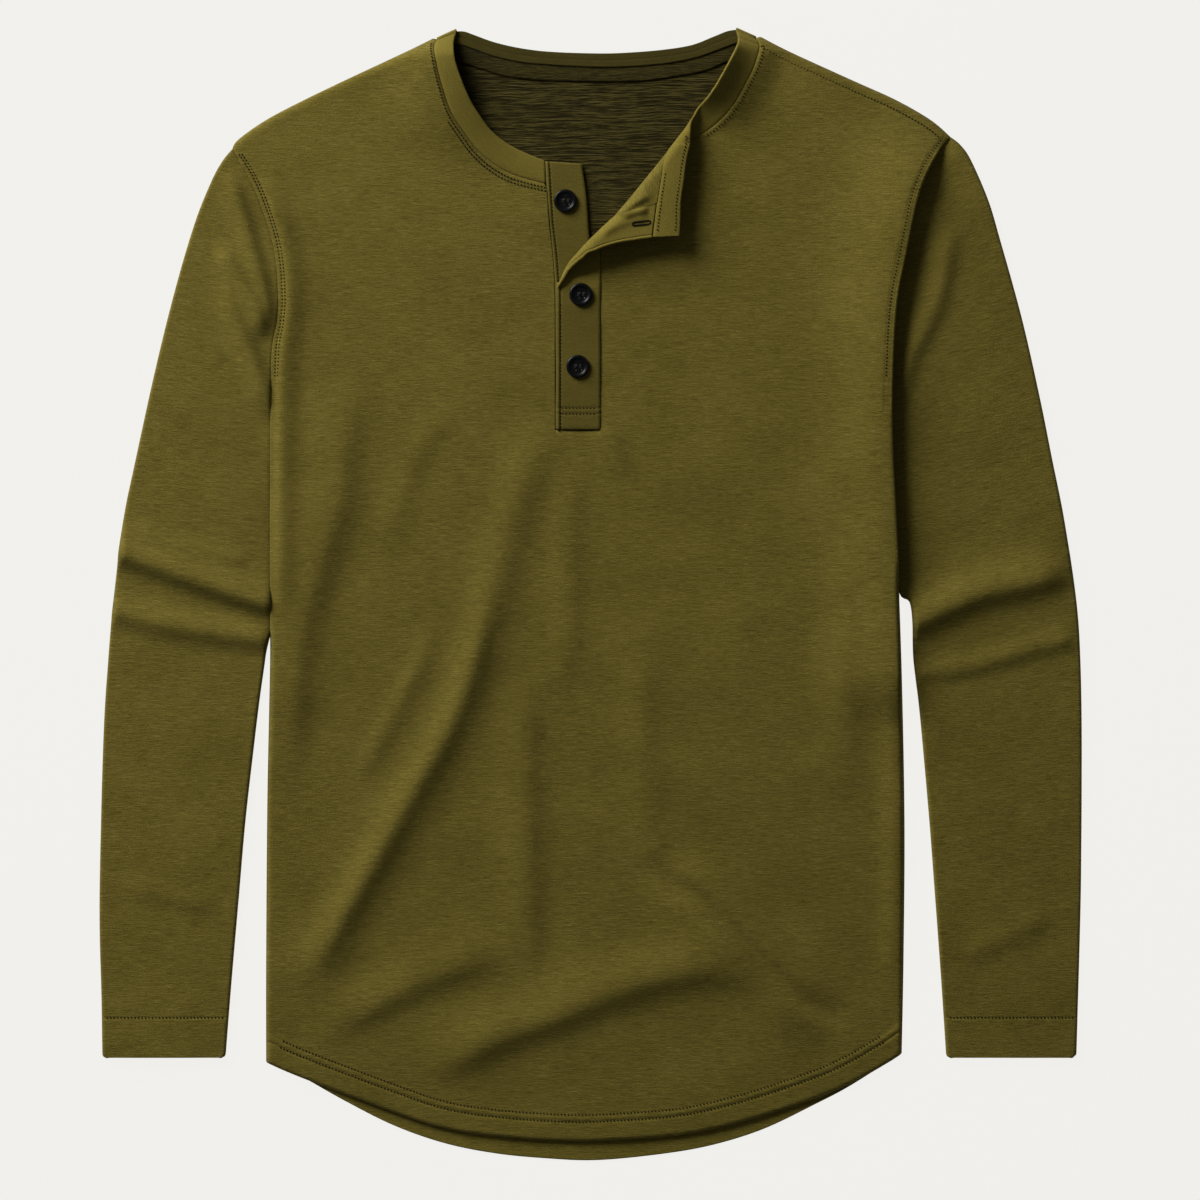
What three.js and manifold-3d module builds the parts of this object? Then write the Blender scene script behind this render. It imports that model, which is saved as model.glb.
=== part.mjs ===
import * as THREE from 'three';
import { mergeVertices } from 'three/addons/utils/BufferGeometryUtils.js';
import Module from 'manifold-3d';

// Long-sleeved henley shirt, laid flat with its front up and the top of its placket folded open.
// Millimetres. X runs to the wearer's left, Y to the neck, Z up from the surface it lies on.
// The origin is on that surface, under the middle of the shirt's outline.

// Cloth
const PANEL_WALL = 1.2;
const BAND_WALL = 1.6;
const TAPE_WALL = 1.0;
const SEAM_GAP = 0.3;
const NECK_SEAM_GAP = 0.7;
const ROLLED_SEAM_GAP = 1.5;
const ARMHOLE_GAP = 0.8;

// Heights of the middle of the wall above the surface
const EDGE_HEIGHT = PANEL_WALL + SEAM_GAP + PANEL_WALL / 2;
const FRONT_HEIGHT = 3.2;
const UNDER_STRIP_HEIGHT = 3.0;
const TOP_STRIP_HEIGHT = 4.5;
const SLEEVE_HEIGHT = 3.4;
const EDGE_ROLL = 7;

// Placket
const PLACKET_BOTTOM = 108.2;
const STRIP_LEFT = -22;
const STRIP_RIGHT = 6.5;

// Buttons
const BUTTON_DIAMETER = 15.2;
const BUTTON_THICKNESS = 2.6;
const BUTTON_RIM = 1.5;
const BUTTON_DISH = 0.8;
const BUTTON_HOLE = 1.7;
const BUTTON_HOLE_SPACING = 3.4;
const BUTTON_SEGMENTS = 20;

// Outlines. Each row is x, y. Right and left are the wearer's: right is on the -X side.
const SHOULDER_RIGHT = [
  [-103, 366.3], [-121, 357.4], [-160.5, 339], [-188.4, 325.6], [-213.5, 312.4], [-232, 299.4], [-236, 293],
];
const SHOULDER_LEFT = [
  [111.6, 367.4], [131, 357.4], [171.3, 339], [201, 325.6], [224, 312.4], [237.4, 301],
];
const SIDE_RIGHT = [
  [-236, 293], [-225.5, 276.5], [-216.2, 256], [-207.8, 228], [-205, 197], [-206.3, 178], [-209.6, 152],
  [-210.2, 60], [-210.2, -30], [-212.2, -136], [-213, -242], [-213, -308.5],
];
const SIDE_LEFT = [
  [237.4, 301], [227.4, 289.5], [215.5, 264], [206.5, 222], [201, 193], [198.4, 156], [197.7, 110],
  [199.7, 62], [202.6, 2.6], [204.9, -70], [206.3, -156], [205.6, -242], [204.4, -303],
];
const FRONT_HEM = [
  [-213, -308.5], [-192.4, -317.5], [-137, -338.6], [-96.7, -351.8], [-54.5, -357.9], [-12, -360.4],
  [22, -359.3],
  [64.4, -355.5], [106, -345.8], [148.2, -332], [173.3, -321.2], [195, -309], [204.4, -303],
];
const BACK_HEM = [
  [-213, -308.5], [-191, -318.2], [-164, -333.3], [-130.4, -350.3], [-96.7, -362.2], [-63, -369],
  [-29.4, -372.3],
  [4.3, -373.5], [47.2, -369.4], [80.9, -363.4], [114.5, -352.8], [148.2, -336.6], [170, -325.2],
  [195, -309.4],
  [204.4, -303],
];
const SLEEVE_RIGHT = {
  outer: [
    [-236.6, 294], [-243, 286], [-250, 273], [-260.4, 246.8], [-272.3, 207], [-285.5, 154.4], [-300, 88.4],
    [-308, 48.8], [-314.5, -4], [-318, -43.6], [-321.2, -96.4], [-323.7, -202], [-322.4, -268],
    [-321.8, -305.6],
  ],
  inner: [
    [-210.2, 151], [-210.8, 90], [-211.2, 30], [-212.4, 0], [-213, -30], [-218.2, -70], [-221.4, -96.4],
    [-227.4, -149], [-232, -202], [-236.6, -255], [-240.6, -305.6],
  ],
};
const SLEEVE_LEFT = {
  outer: [
    [238, 301.5], [244, 296.5], [251, 286.4], [262.4, 260], [270.3, 233.6], [284.8, 180.8], [296.7, 128],
    [304.6, 88.4], [312.5, 48.8], [320.4, -4], [323.1, -43.6], [324, -96.4], [323.7, -169], [323, -215],
    [320.4, -305.6],
  ],
  inner: [
    [198.4, 130], [200.3, 62], [203.2, 4], [211, -7.5], [213, -43.6], [216.2, -70], [218.8, -96.4],
    [223.4, -149], [227.4, -202], [231.3, -255], [234.6, -305.6],
  ],
};

// Neckband. Each row is the neck edge's x, y and the seam's x, y. The left front is given unfolded.
const BAND_FRONT_RIGHT = [
  [-31.4, 285.8, -30.9, 270.6], [-45.2, 291.7, -50, 276], [-57.1, 298.3, -64, 283.5],
  [-65.7, 305.6, -75, 293],
  [-72.3, 314.2, -84, 305], [-78.9, 324.7, -92, 317.5], [-85, 339, -98, 335.5], [-88.9, 351, -101.6, 350.5],
  [-90, 363, -102.8, 360.5], [-88, 371, -100.6, 365.2],
];
const BAND_BACK = [
  [-88, 371, -100.6, 365.2], [-83, 370.8, -90, 363.2], [-77.6, 368.9, -80, 360.5], [-63, 363.7, -65, 355],
  [-45.2, 359.7, -46.5, 350.8], [-25, 357.4, -25.5, 348.8], [6.3, 356.4, 6.3, 347.4],
  [27.4, 357.1, 28, 347.9],
  [49.2, 359, 51, 350], [67, 362, 69, 353.5], [81.5, 367.6, 84, 358.6], [90, 371, 97, 363.4],
  [95.8, 372, 108.6, 366.2],
];
const BAND_FRONT_LEFT = [
  [95.8, 372, 108.6, 366.2], [97.2, 366, 111.4, 361.5], [96, 359.7, 110.6, 356], [92.1, 351.1, 106.8, 345],
  [86.1, 339.9, 100.2, 332.4], [80.9, 331.3, 94.6, 322.7], [74.3, 323.4, 84.8, 311.4],
  [65, 317.5, 69.7, 302.2],
  [46.5, 314.8, 51.5, 298.9], [34.7, 309.5, 41.1, 294.7], [16.2, 301.6, 21.8, 286.6], [4.3, 297, 9.7, 282],
  [-12.2, 291.7, -8.1, 276.2], [-21.8, 287.8, -21.8, 271.5],
];
const TAPE_LOWER_EDGE = [
  [-73.6, 346.8], [-59.7, 342.5], [-45.2, 339.9], [-27.4, 338.6], [6.3, 337.9], [27.4, 338.2],
  [41.9, 339.2],
  [59.7, 341.9], [71, 343.9], [81.5, 347.2], [88.5, 350.5],
];
const UNDER_STRIP_RIGHT_EDGE = [
  [-23, 108.6], [-23, 160], [-23.2, 200], [-24.6, 223.7], [-27.2, 247.5], [-29.4, 285],
];
const UNDER_STRIP_LEFT_EDGE = [
  [6.2, 108.6], [6, 160], [3.5, 205], [-0.7, 233.6], [-3, 262.7], [-5.9, 283.5],
];

// Placket corner, folded open about an apex on the strip's free edge. Each row is the distance from the apex,
// the angle of the visible fold, the angle where the free edge lies, and the radius of the roll.
const FLAP_APEX = [-21.9, 200.6];
const FLAP = [
  [0, 68, 64, 0.4], [14, 67, 63.5, 1.4], [20, 64, 60, 2.4], [26, 60, 53.5, 3.4], [35, 57, 44.6, 4.6],
  [44, 54.4, 39.5, 5.4], [52, 52.8, 35.4, 5.8], [60, 51.4, 31.6, 6], [77, 51, 25.5, 6], [87, 51, 22.8, 6],
  [110, 51, 22.4, 6], [135, 51.2, 22, 6], [146, 51.6, 22, 6], [156, 53.4, 22, 6], [166, 56, 22, 6],
  [190, 63, 22, 6], [230, 75, 22, 6],
];
const FREE_EDGE_ANGLE = 90;

// Folds. The path runs along the crest; soft is the reach of its upper left flank, steep that of the other.
const BODY_FOLDS = [
  {
    name: 'placket to hip', height: 4.4, soft: 19, steep: 10, fade: 45,
    path: [
      [-30, 124], [-38, 90], [-48, 54], [-62, 20], [-74, -8], [-86, -40], [-100, -74], [-126, -128],
      [-152, -186], [-172, -222], [-192, -262],
    ],
  },
  {
    name: 'hip to placket, second', height: 1.6, soft: 12, steep: 10, fade: 50,
    path: [[-96, -8], [-112, -46], [-124, -84], [-134, -120]],
  },
  {
    name: 'right side', height: 2.2, soft: 26, steep: 12, fade: 50,
    path: [[-166, 100], [-176, 50], [-186, -10], [-190, -60], [-192, -110]],
  },
  {
    name: 'right hip', height: 3, soft: 12, steep: 9, fade: 30,
    path: [[-178, -288], [-150, -275], [-124, -262], [-96, -250], [-64, -243]],
  },
  {
    name: 'lower front', height: 4.2, soft: 18, steep: 10, fade: 30,
    path: [
      [-112, -310], [-86, -294], [-54, -284], [-20, -274], [16, -262], [46, -251], [72, -246], [94, -250],
      [112, -260],
    ],
  },
  {
    name: 'left hip', height: 2.4, soft: 18, steep: 10, fade: 36,
    path: [
      [38, -70], [42, -120], [52, -170], [66, -200], [92, -226], [118, -254], [140, -274], [162, -284],
    ],
  },
  {
    name: 'centre, upper', height: 1.5, soft: 9, steep: 8, fade: 30,
    path: [[-13, 88], [-13, 50], [-13, 10], [-14, -46]],
  },
  {
    name: 'beside placket', height: 1.2, soft: 7, steep: 6, fade: 14,
    path: [[12, 116], [16, 100], [20, 86]],
  },
  {
    name: 'centre, lower', height: 2, soft: 14, steep: 10, fade: 34,
    path: [[-43, -80], [-41, -130], [-40, -180], [-40, -232], [-44, -262]],
  },
  {
    name: 'left side roll', height: 2.6, soft: 34, steep: 9, fade: 60,
    path: [
      [224, 296], [209, 266], [198, 220], [192, 180], [190, 130], [191, 80], [194, 30], [196, -20],
      [197, -60],
    ],
  },
  {
    name: 'right side roll', height: 1.2, soft: 9, steep: 24, fade: 50,
    path: [[-216, 280], [-198, 225], [-197, 150], [-202, 40]],
  },
];
const SLEEVE_FOLDS = [
  {
    name: 'right elbow', height: 3.6, soft: 10, steep: 5, fade: 12,
    path: [[-322, 31], [-300, 21], [-262, 9], [-206, -2]],
  },
  {
    name: 'right elbow, lower', height: 1.6, soft: 7, steep: 6, fade: 12,
    path: [[-320, -8], [-284, -22], [-250, -28], [-206, -30]],
  },
  {
    name: 'right cap, outer', height: 1.8, soft: 8, steep: 6, fade: 20,
    path: [[-246, 226], [-233, 214], [-224, 196], [-213, 152]],
  },
  {
    name: 'right cap, inner', height: 1.6, soft: 7, steep: 6, fade: 16,
    path: [[-226, 256], [-217, 228], [-210, 206]],
  },
  {
    name: 'right upper arm', height: 1.6, soft: 9, steep: 7, fade: 24,
    path: [[-252, 140], [-236, 90], [-218, 50]],
  },
  {
    name: 'left elbow', height: 3.6, soft: 11, steep: 5, fade: 12,
    path: [[204, -22], [226, -12], [254, 0], [282, 5], [326, 16]],
  },
  {
    name: 'left elbow, lower', height: 1.4, soft: 8, steep: 6, fade: 12,
    path: [[214, -50], [250, -46], [284, -36], [322, -26]],
  },
  {
    name: 'left cap', height: 2, soft: 9, steep: 8, fade: 24,
    path: [[251, 240], [241, 196], [226, 150], [216, 120]],
  },
  {
    name: 'left wrist', height: 1, soft: 10, steep: 8, fade: 20,
    path: [[240, -240], [262, -232], [290, -218], [306, -208]],
  },
  {
    name: 'right wrist', height: 1, soft: 8, steep: 7, fade: 20,
    path: [[-312, -188], [-276, -200], [-242, -206]],
  },
];

// Curves
const toVector = ([x, y]) => new THREE.Vector2(x, y);
const curveThrough = (rows) => new THREE.SplineCurve(rows.map(toVector));
const smoothStep = (t) => THREE.MathUtils.smoothstep(t, 0, 1);
const along = (curve, count) => curve.getSpacedPoints(count);

function spaced(from, to, count) {
  return Array.from({ length: count }, (_, i) => from + ((to - from) * i) / count);
}

// Straight interpolation of the other columns of a table by its column 'key'.
function lookUp(rows, key, value) {
  const upwards = rows[rows.length - 1][key] > rows[0][key];
  const ordered = upwards ? rows : [...rows].reverse();
  let next = ordered.findIndex((row) => row[key] > value);
  if (next < 0) next = ordered.length - 1;
  const low = ordered[Math.max(next - 1, 0)];
  const high = ordered[next];
  const share = high === low ? 0 : THREE.MathUtils.clamp((value - low[key]) / (high[key] - low[key]), 0, 1);
  return low.map((item, column) => item + (high[column] - item) * share);
}

// A curve as a fine table of x, y rows, for reading its x at a y or its y at an x.
const fineTable = (rows) => curveThrough(rows).getSpacedPoints(160).map((p) => [p.x, p.y]);
const sideRight = fineTable(SIDE_RIGHT);
const sideLeft = fineTable(SIDE_LEFT);
const shoulderRight = fineTable(SHOULDER_RIGHT);
const shoulderLeft = fineTable(SHOULDER_LEFT);
const frontHem = fineTable(FRONT_HEM);

// Distance of a point of the front from the nearest side, shoulder or hem, roughly.
function frontEdgeDistance(x, y) {
  const distances = [
    x - lookUp(sideRight, 1, y)[0],
    lookUp(sideLeft, 1, y)[0] - x,
    y - lookUp(frontHem, 0, x)[1],
  ];
  if (x < SHOULDER_RIGHT[0][0]) distances.push(lookUp(shoulderRight, 0, x)[1] - y);
  if (x > SHOULDER_LEFT[0][0]) distances.push(lookUp(shoulderLeft, 0, x)[1] - y);
  return Math.max(0, Math.min(...distances));
}

// Height that a fold adds at a point: nearest place on its path, flank by side, faded towards both ends.
function foldHeight(fold, x, y) {
  let best = { distance: Infinity };
  let travelled = 0;
  for (let i = 0; i + 1 < fold.path.length; i += 1) {
    const [ax, ay] = fold.path[i];
    const [bx, by] = fold.path[i + 1];
    const length = Math.hypot(bx - ax, by - ay);
    const share = THREE.MathUtils.clamp(((x - ax) * (bx - ax) + (y - ay) * (by - ay)) / length ** 2, 0, 1);
    const dx = x - ax - share * (bx - ax);
    const dy = y - ay - share * (by - ay);
    const distance = Math.hypot(dx, dy);
    if (distance < best.distance) best = { distance, dx, dy, place: travelled + share * length };
    travelled += length;
  }
  const upperLeft = best.dy - best.dx > 0;
  const reach = upperLeft ? fold.soft : fold.steep;
  const fade = smoothStep(Math.min(best.place, travelled - best.place) / fold.fade);
  return fold.height * fade * Math.exp(-((best.distance / reach) ** 2));
}

const foldsAt = (folds, x, y) => folds.reduce((sum, fold) => sum + foldHeight(fold, x, y), 0);

function frontHeight(x, y) {
  const rise = smoothStep(frontEdgeDistance(x, y) / EDGE_ROLL);
  return EDGE_HEIGHT + rise * (FRONT_HEIGHT - EDGE_HEIGHT + foldsAt(BODY_FOLDS, x, y));
}

// Where a point of the unfolded front lies once the placket's corner is folded open: around the apex it
// runs along the lower layer, round the roll and back over the top.
function foldedOpen(x, y, height) {
  const dx = x - FLAP_APEX[0];
  const dy = y - FLAP_APEX[1];
  const distance = Math.hypot(dx, dy);
  const [, foldAngle, edgeAngle, radius] = lookUp(FLAP, 0, distance);
  const turn = distance > 0 ? THREE.MathUtils.radToDeg(radius / distance) : 0;
  const startAngle = foldAngle - turn;
  const angle = THREE.MathUtils.radToDeg(Math.atan2(dy, dx));
  const lowerLayer = dy <= 0 || angle <= startAngle || angle > FREE_EDGE_ANGLE + 1;
  if (lowerLayer) return new THREE.Vector3(x, y, height);
  const rollLength = Math.PI * radius;
  const topLength = THREE.MathUtils.degToRad(foldAngle - edgeAngle) * distance - radius;
  const pathLength = rollLength + Math.max(topLength, 0);
  const place = ((angle - startAngle) / (FREE_EDGE_ANGLE - startAngle)) * pathLength;
  const turned = Math.min(place / radius, Math.PI);
  const back = Math.max(place - rollLength, 0);
  const shift = radius * Math.sin(turned) - back;
  const newAngle = THREE.MathUtils.degToRad(startAngle) + shift / distance;
  return new THREE.Vector3(
    FLAP_APEX[0] + distance * Math.cos(newAngle),
    FLAP_APEX[1] + distance * Math.sin(newAngle),
    height + radius * (1 - Math.cos(turned)),
  );
}

// Grid of points between four sides: u runs from 'start' to 'end', v from 'bottom' to 'top'.
function coonsGrid({ bottom, top, start, end, columns, rows, rowsStart = rows }) {
  return rows.map((v, row) => {
    const left = start.getPointAt(rowsStart[row]);
    const right = end.getPointAt(v);
    return columns.map((u, column) => {
      const low = bottom[column];
      const high = top[column];
      const across = left.clone().lerp(right, u);
      const lowLine = bottom[0].clone().lerp(bottom[columns.length - 1], u);
      const highLine = top[0].clone().lerp(top[columns.length - 1], u);
      across.addScaledVector(low.clone().sub(lowLine), 1 - v);
      return across.addScaledVector(high.clone().sub(highLine), v);
    });
  });
}

// Surface made of grids of 3D points; points at one place become one vertex.
function surfaceOf(grids, closedAcross = false) {
  const vertices = [];
  const places = new Map();
  const faces = [];
  const vertexAt = (point) => {
    const place = [point.x, point.y, point.z].map((item) => item.toFixed(3)).join(' ');
    if (!places.has(place)) {
      places.set(place, vertices.length);
      vertices.push(point);
    }
    return places.get(place);
  };
  grids.forEach((grid) => {
    const indices = grid.map((row) => row.map(vertexAt));
    for (let row = 0; row + 1 < indices.length; row += 1) {
      const width = indices[row].length;
      for (let column = 0; column < (closedAcross ? width : width - 1); column += 1) {
        const next = (column + 1) % width;
        const [a, b] = [indices[row][column], indices[row][next]];
        const [d, c] = [indices[row + 1][column], indices[row + 1][next]];
        if (new Set([a, b, c]).size === 3) faces.push([a, b, c]);
        if (new Set([a, c, d]).size === 3) faces.push([a, c, d]);
      }
    }
  });
  return { vertices, faces };
}

// Closed wall of even thickness around a surface, with a rim along each open edge.
function wallOf({ vertices, faces }, thickness) {
  const normals = vertices.map(() => new THREE.Vector3());
  faces.forEach(([a, b, c]) => {
    const normal = vertices[b].clone().sub(vertices[a]).cross(vertices[c].clone().sub(vertices[a]));
    [a, b, c].forEach((index) => normals[index].add(normal));
  });
  const offset = (side) => vertices.map((point, i) => (
    point.clone().addScaledVector(normals[i].clone().normalize(), (side * thickness) / 2)
  ));
  const count = vertices.length;
  const triangles = faces.flatMap(([a, b, c]) => [a, b, c, c + count, b + count, a + count]);
  const edges = new Set();
  const edgesOf = ([a, b, c]) => [[a, b], [b, c], [c, a]];
  faces.forEach((face) => edgesOf(face).forEach(([a, b]) => edges.add(`${a} ${b}`)));
  faces.forEach((face) => edgesOf(face).forEach(([a, b]) => {
    if (!edges.has(`${b} ${a}`)) triangles.push(b, a, a + count, b, a + count, b + count);
  }));
  const geometry = new THREE.BufferGeometry().setFromPoints([...offset(1), ...offset(-1)]);
  geometry.setIndex(triangles);
  return geometry;
}

// Front panel: below the placket it spans the whole width, above it two arms run up beside the neck.
const bandSeam = (rows) => rows.map(([, , x, y]) => [x, y]);
const neckCentre = new THREE.Vector2(5, 330);

function awayFromNeck(rows, gap) {
  return along(curveThrough(rows), 40).map((point) => {
    const shift = point.clone().sub(neckCentre).setLength(gap);
    return [point.x + shift.x, point.y + shift.y];
  });
}

function splitSide(rows) {
  const table = fineTable(rows);
  const meeting = lookUp(table, 1, PLACKET_BOTTOM);
  const upper = table.filter(([, y]) => y > PLACKET_BOTTOM + 2);
  const lower = table.filter(([, y]) => y < PLACKET_BOTTOM - 2);
  return {
    upper: curveThrough([...upper, meeting].reverse()),
    lower: curveThrough([meeting, ...lower].reverse()),
  };
}

function polylineCurve(rows) {
  const path = new THREE.CurvePath();
  const points = rows.map(toVector);
  for (let i = 0; i + 1 < points.length; i += 1) path.add(new THREE.LineCurve(points[i], points[i + 1]));
  return path;
}

function frontPanel() {
  const right = splitSide(SIDE_RIGHT);
  const left = splitSide(SIDE_LEFT);
  const notchRight = UNDER_STRIP_RIGHT_EDGE[0][0] - SEAM_GAP * 1.5;
  const notchLeft = STRIP_RIGHT + SEAM_GAP;
  const notchFloor = PLACKET_BOTTOM - SEAM_GAP;
  const rightShares = [0, 0.018, 0.045, 0.11, 0.2, 0.3, 0.4, 0.5, 0.6, 0.7, 0.8, 0.9, 1];
  const leftShares = [
    0, 0.025, 0.06, 0.1, 0.145, 0.2, 0.27, 0.36, 0.47, 0.58, 0.69, 0.79, 0.88, 0.94, 0.972, 0.99, 1,
  ];
  const notchShares = [0.33, 0.67];

  const start = right.lower.getPointAt(1);
  const finish = left.lower.getPointAt(1);
  const innerRight = new THREE.Vector2(notchRight, notchFloor);
  const innerLeft = new THREE.Vector2(notchLeft, notchFloor);
  const rightRow = rightShares.map((share) => start.clone().lerp(innerRight, share));
  const leftRow = leftShares.map((share) => innerLeft.clone().lerp(finish, share));
  const notchRow = notchShares.map((share) => innerRight.clone().lerp(innerLeft, share));
  const topRow = [...rightRow, ...notchRow, ...leftRow];
  const width = finish.x - start.x;
  const columns = topRow.map((point) => (point.x - start.x) / width);
  const hem = curveThrough(FRONT_HEM);
  const hemRow = columns.map((share) => hem.getPointAt(share));
  const lowerRows = [0, 0.01, 0.03, ...spaced(0.06, 1, 28), 1];
  const lower = coonsGrid({
    bottom: hemRow, top: topRow, start: right.lower, end: left.lower, columns, rows: lowerRows,
  });

  const rightNeck = awayFromNeck(bandSeam(BAND_FRONT_RIGHT), NECK_SEAM_GAP);
  const notchEdge = fineTable(UNDER_STRIP_RIGHT_EDGE)
    .filter(([, y]) => y > notchFloor + 1 && y < rightNeck[0][1] - 1)
    .map(([x, y]) => [x - SEAM_GAP * 1.5, y]);
  rightNeck[rightNeck.length - 1] = SHOULDER_RIGHT[0];
  const rightInner = polylineCurve([[notchRight, notchFloor], ...notchEdge, ...rightNeck]);
  const rightRows = [...spaced(0, 0.5, 6), ...spaced(0.5, 1, 12), 1];
  const rightTop = curveThrough([...SHOULDER_RIGHT].reverse());
  const rightArm = coonsGrid({
    bottom: rightRow, top: rightShares.map((share) => rightTop.getPointAt(share)),
    start: right.upper, end: rightInner, columns: rightShares, rows: rightRows,
  });

  const leftNeck = awayFromNeck([...bandSeam(BAND_FRONT_LEFT)].reverse(), ROLLED_SEAM_GAP)
    .filter(([x]) => x > notchLeft);
  leftNeck[leftNeck.length - 1] = SHOULDER_LEFT[0];
  const seamFoot = lookUp(leftNeck, 0, notchLeft)[1];
  const leftInner = polylineCurve([[notchLeft, notchFloor], [notchLeft, seamFoot - 1], ...leftNeck]);
  const leftRows = [...spaced(0, 0.36, 4), ...spaced(0.36, 0.76, 20), ...spaced(0.76, 1, 8), 1];
  const leftTop = curveThrough(SHOULDER_LEFT);
  const leftArm = coonsGrid({
    bottom: leftRow, top: leftShares.map((share) => leftTop.getPointAt(share)),
    start: leftInner, end: left.upper, columns: leftShares, rows: leftRows,
  });

  const eachPoint = (grid, place) => grid.map((row) => row.map(({ x, y }) => place(x, y, frontHeight(x, y))));
  const raised = (grid) => eachPoint(grid, (x, y, height) => new THREE.Vector3(x, y, height));
  const opened = (grid) => eachPoint(grid, foldedOpen);
  return wallOf(surfaceOf([raised(lower), raised(rightArm), opened(leftArm)]), PANEL_WALL);
}

// Back panel: flat on the surface, cut higher at the neck and longer at the hem.
function slab(points, thickness, height) {
  const options = { depth: thickness, bevelEnabled: false };
  return new THREE.ExtrudeGeometry(new THREE.Shape(points), options).translate(0, 0, height);
}

function backNeckSeam(gap) {
  return along(curveThrough(bandSeam(BAND_BACK)), 24).map(({ x, y }) => new THREE.Vector2(x, y - gap));
}

function backPanel() {
  const sides = [
    ...backNeckSeam(SEAM_GAP),
    ...along(curveThrough(SHOULDER_LEFT), 10),
    ...along(curveThrough(SIDE_LEFT), 26).slice(1),
    ...along(curveThrough([...BACK_HEM].reverse()), 24).slice(1),
    ...along(curveThrough([...SIDE_RIGHT].reverse()), 26).slice(1),
    ...along(curveThrough([...SHOULDER_RIGHT].reverse()), 10).slice(1),
  ];
  return slab(sides.reverse(), PANEL_WALL, 0);
}

// Tape over the back neck seam, lying on the back panel.
function neckTape() {
  const lower = along(curveThrough(TAPE_LOWER_EDGE), 20);
  const upper = backNeckSeam(SEAM_GAP * 2).filter(({ x }) => x > lower[0].x && x < lower[20].x);
  return slab([...lower, ...upper.reverse()], TAPE_WALL, PANEL_WALL + SEAM_GAP);
}

// Neckband: up the right front, turned over at the shoulder, round the back and down the left front.
function bandRows(rows, count, height) {
  const edge = along(curveThrough(rows.map(([x, y]) => [x, y])), count);
  const seam = along(curveThrough(bandSeam(rows)), count);
  return edge.map((point, i) => ({ edge: point, seam: seam[i], height: height(point, seam[i]) }));
}

function turnedOver({ edge, seam }, from, to) {
  const radius = (from - to) / 2;
  const across = edge.clone().sub(seam).normalize();
  const outward = new THREE.Vector2(-across.y, across.x);
  if (outward.y < 0) outward.negate();
  return [0.2, 0.4, 0.6, 0.8].map((share) => {
    const shift = outward.clone().multiplyScalar(Math.abs(radius) * Math.sin(Math.PI * share));
    return {
      edge: edge.clone().add(shift),
      seam: seam.clone().add(shift),
      height: (from + to) / 2 + radius * Math.cos(Math.PI * share),
    };
  });
}

function neckband() {
  const backHeight = BAND_WALL / 2;
  const onFront = (edge, seam) => Math.max(frontHeight(seam.x, seam.y), FRONT_HEIGHT);
  const rightFront = bandRows(BAND_FRONT_RIGHT, 18, onFront);
  const back = bandRows(BAND_BACK, 24, () => backHeight);
  const leftFront = bandRows(BAND_FRONT_LEFT, 44, onFront);
  const worn = [
    ...rightFront,
    ...turnedOver(rightFront[18], rightFront[18].height, backHeight),
    ...back,
    ...turnedOver(back[24], backHeight, leftFront[0].height),
  ];
  const acrossBand = ({ edge, seam, height }, place) => [1, 0.5, 0].map((share) => {
    const point = edge.clone().lerp(seam, share);
    return place(point.x, point.y, height);
  });
  const grid = [
    ...worn.map((station) => acrossBand(station, (x, y, height) => new THREE.Vector3(x, y, height))),
    ...leftFront.map((station) => acrossBand(station, foldedOpen)),
  ];
  return wallOf(surfaceOf([grid]), BAND_WALL);
}

// Placket strips
function underStrip() {
  const columns = [...spaced(0, 1, 4), 1];
  const rightEnds = [UNDER_STRIP_RIGHT_EDGE[0], UNDER_STRIP_RIGHT_EDGE.at(-1)].map(toVector);
  const leftEnds = [UNDER_STRIP_LEFT_EDGE[0], UNDER_STRIP_LEFT_EDGE.at(-1)].map(toVector);
  const crossRow = (end) => columns.map((share) => rightEnds[end].clone().lerp(leftEnds[end], share));
  const [bottom, top] = [crossRow(0), crossRow(1)];
  const grid = coonsGrid({
    bottom, top, columns, rows: [...spaced(0, 1, 18), 1],
    start: curveThrough(UNDER_STRIP_RIGHT_EDGE), end: curveThrough(UNDER_STRIP_LEFT_EDGE),
  });
  const level = grid.map((row) => row.map(({ x, y }) => new THREE.Vector3(x, y, UNDER_STRIP_HEIGHT)));
  return wallOf(surfaceOf([level]), PANEL_WALL);
}

function topStrip() {
  const seam = bandSeam(BAND_FRONT_LEFT);
  const columns = [...spaced(0, 1, 9), 1];
  const rows = [...spaced(0, 0.5, 5), ...spaced(0.5, 1, 22), 1];
  const grid = rows.map((v) => columns.map((u) => {
    const x = STRIP_LEFT + (STRIP_RIGHT - STRIP_LEFT) * u;
    const top = lookUp(seam, 0, x)[1] - SEAM_GAP;
    const y = PLACKET_BOTTOM + (top - PLACKET_BOTTOM) * v;
    return foldedOpen(x, y, TOP_STRIP_HEIGHT);
  }));
  return wallOf(surfaceOf([grid]), PANEL_WALL);
}

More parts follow.
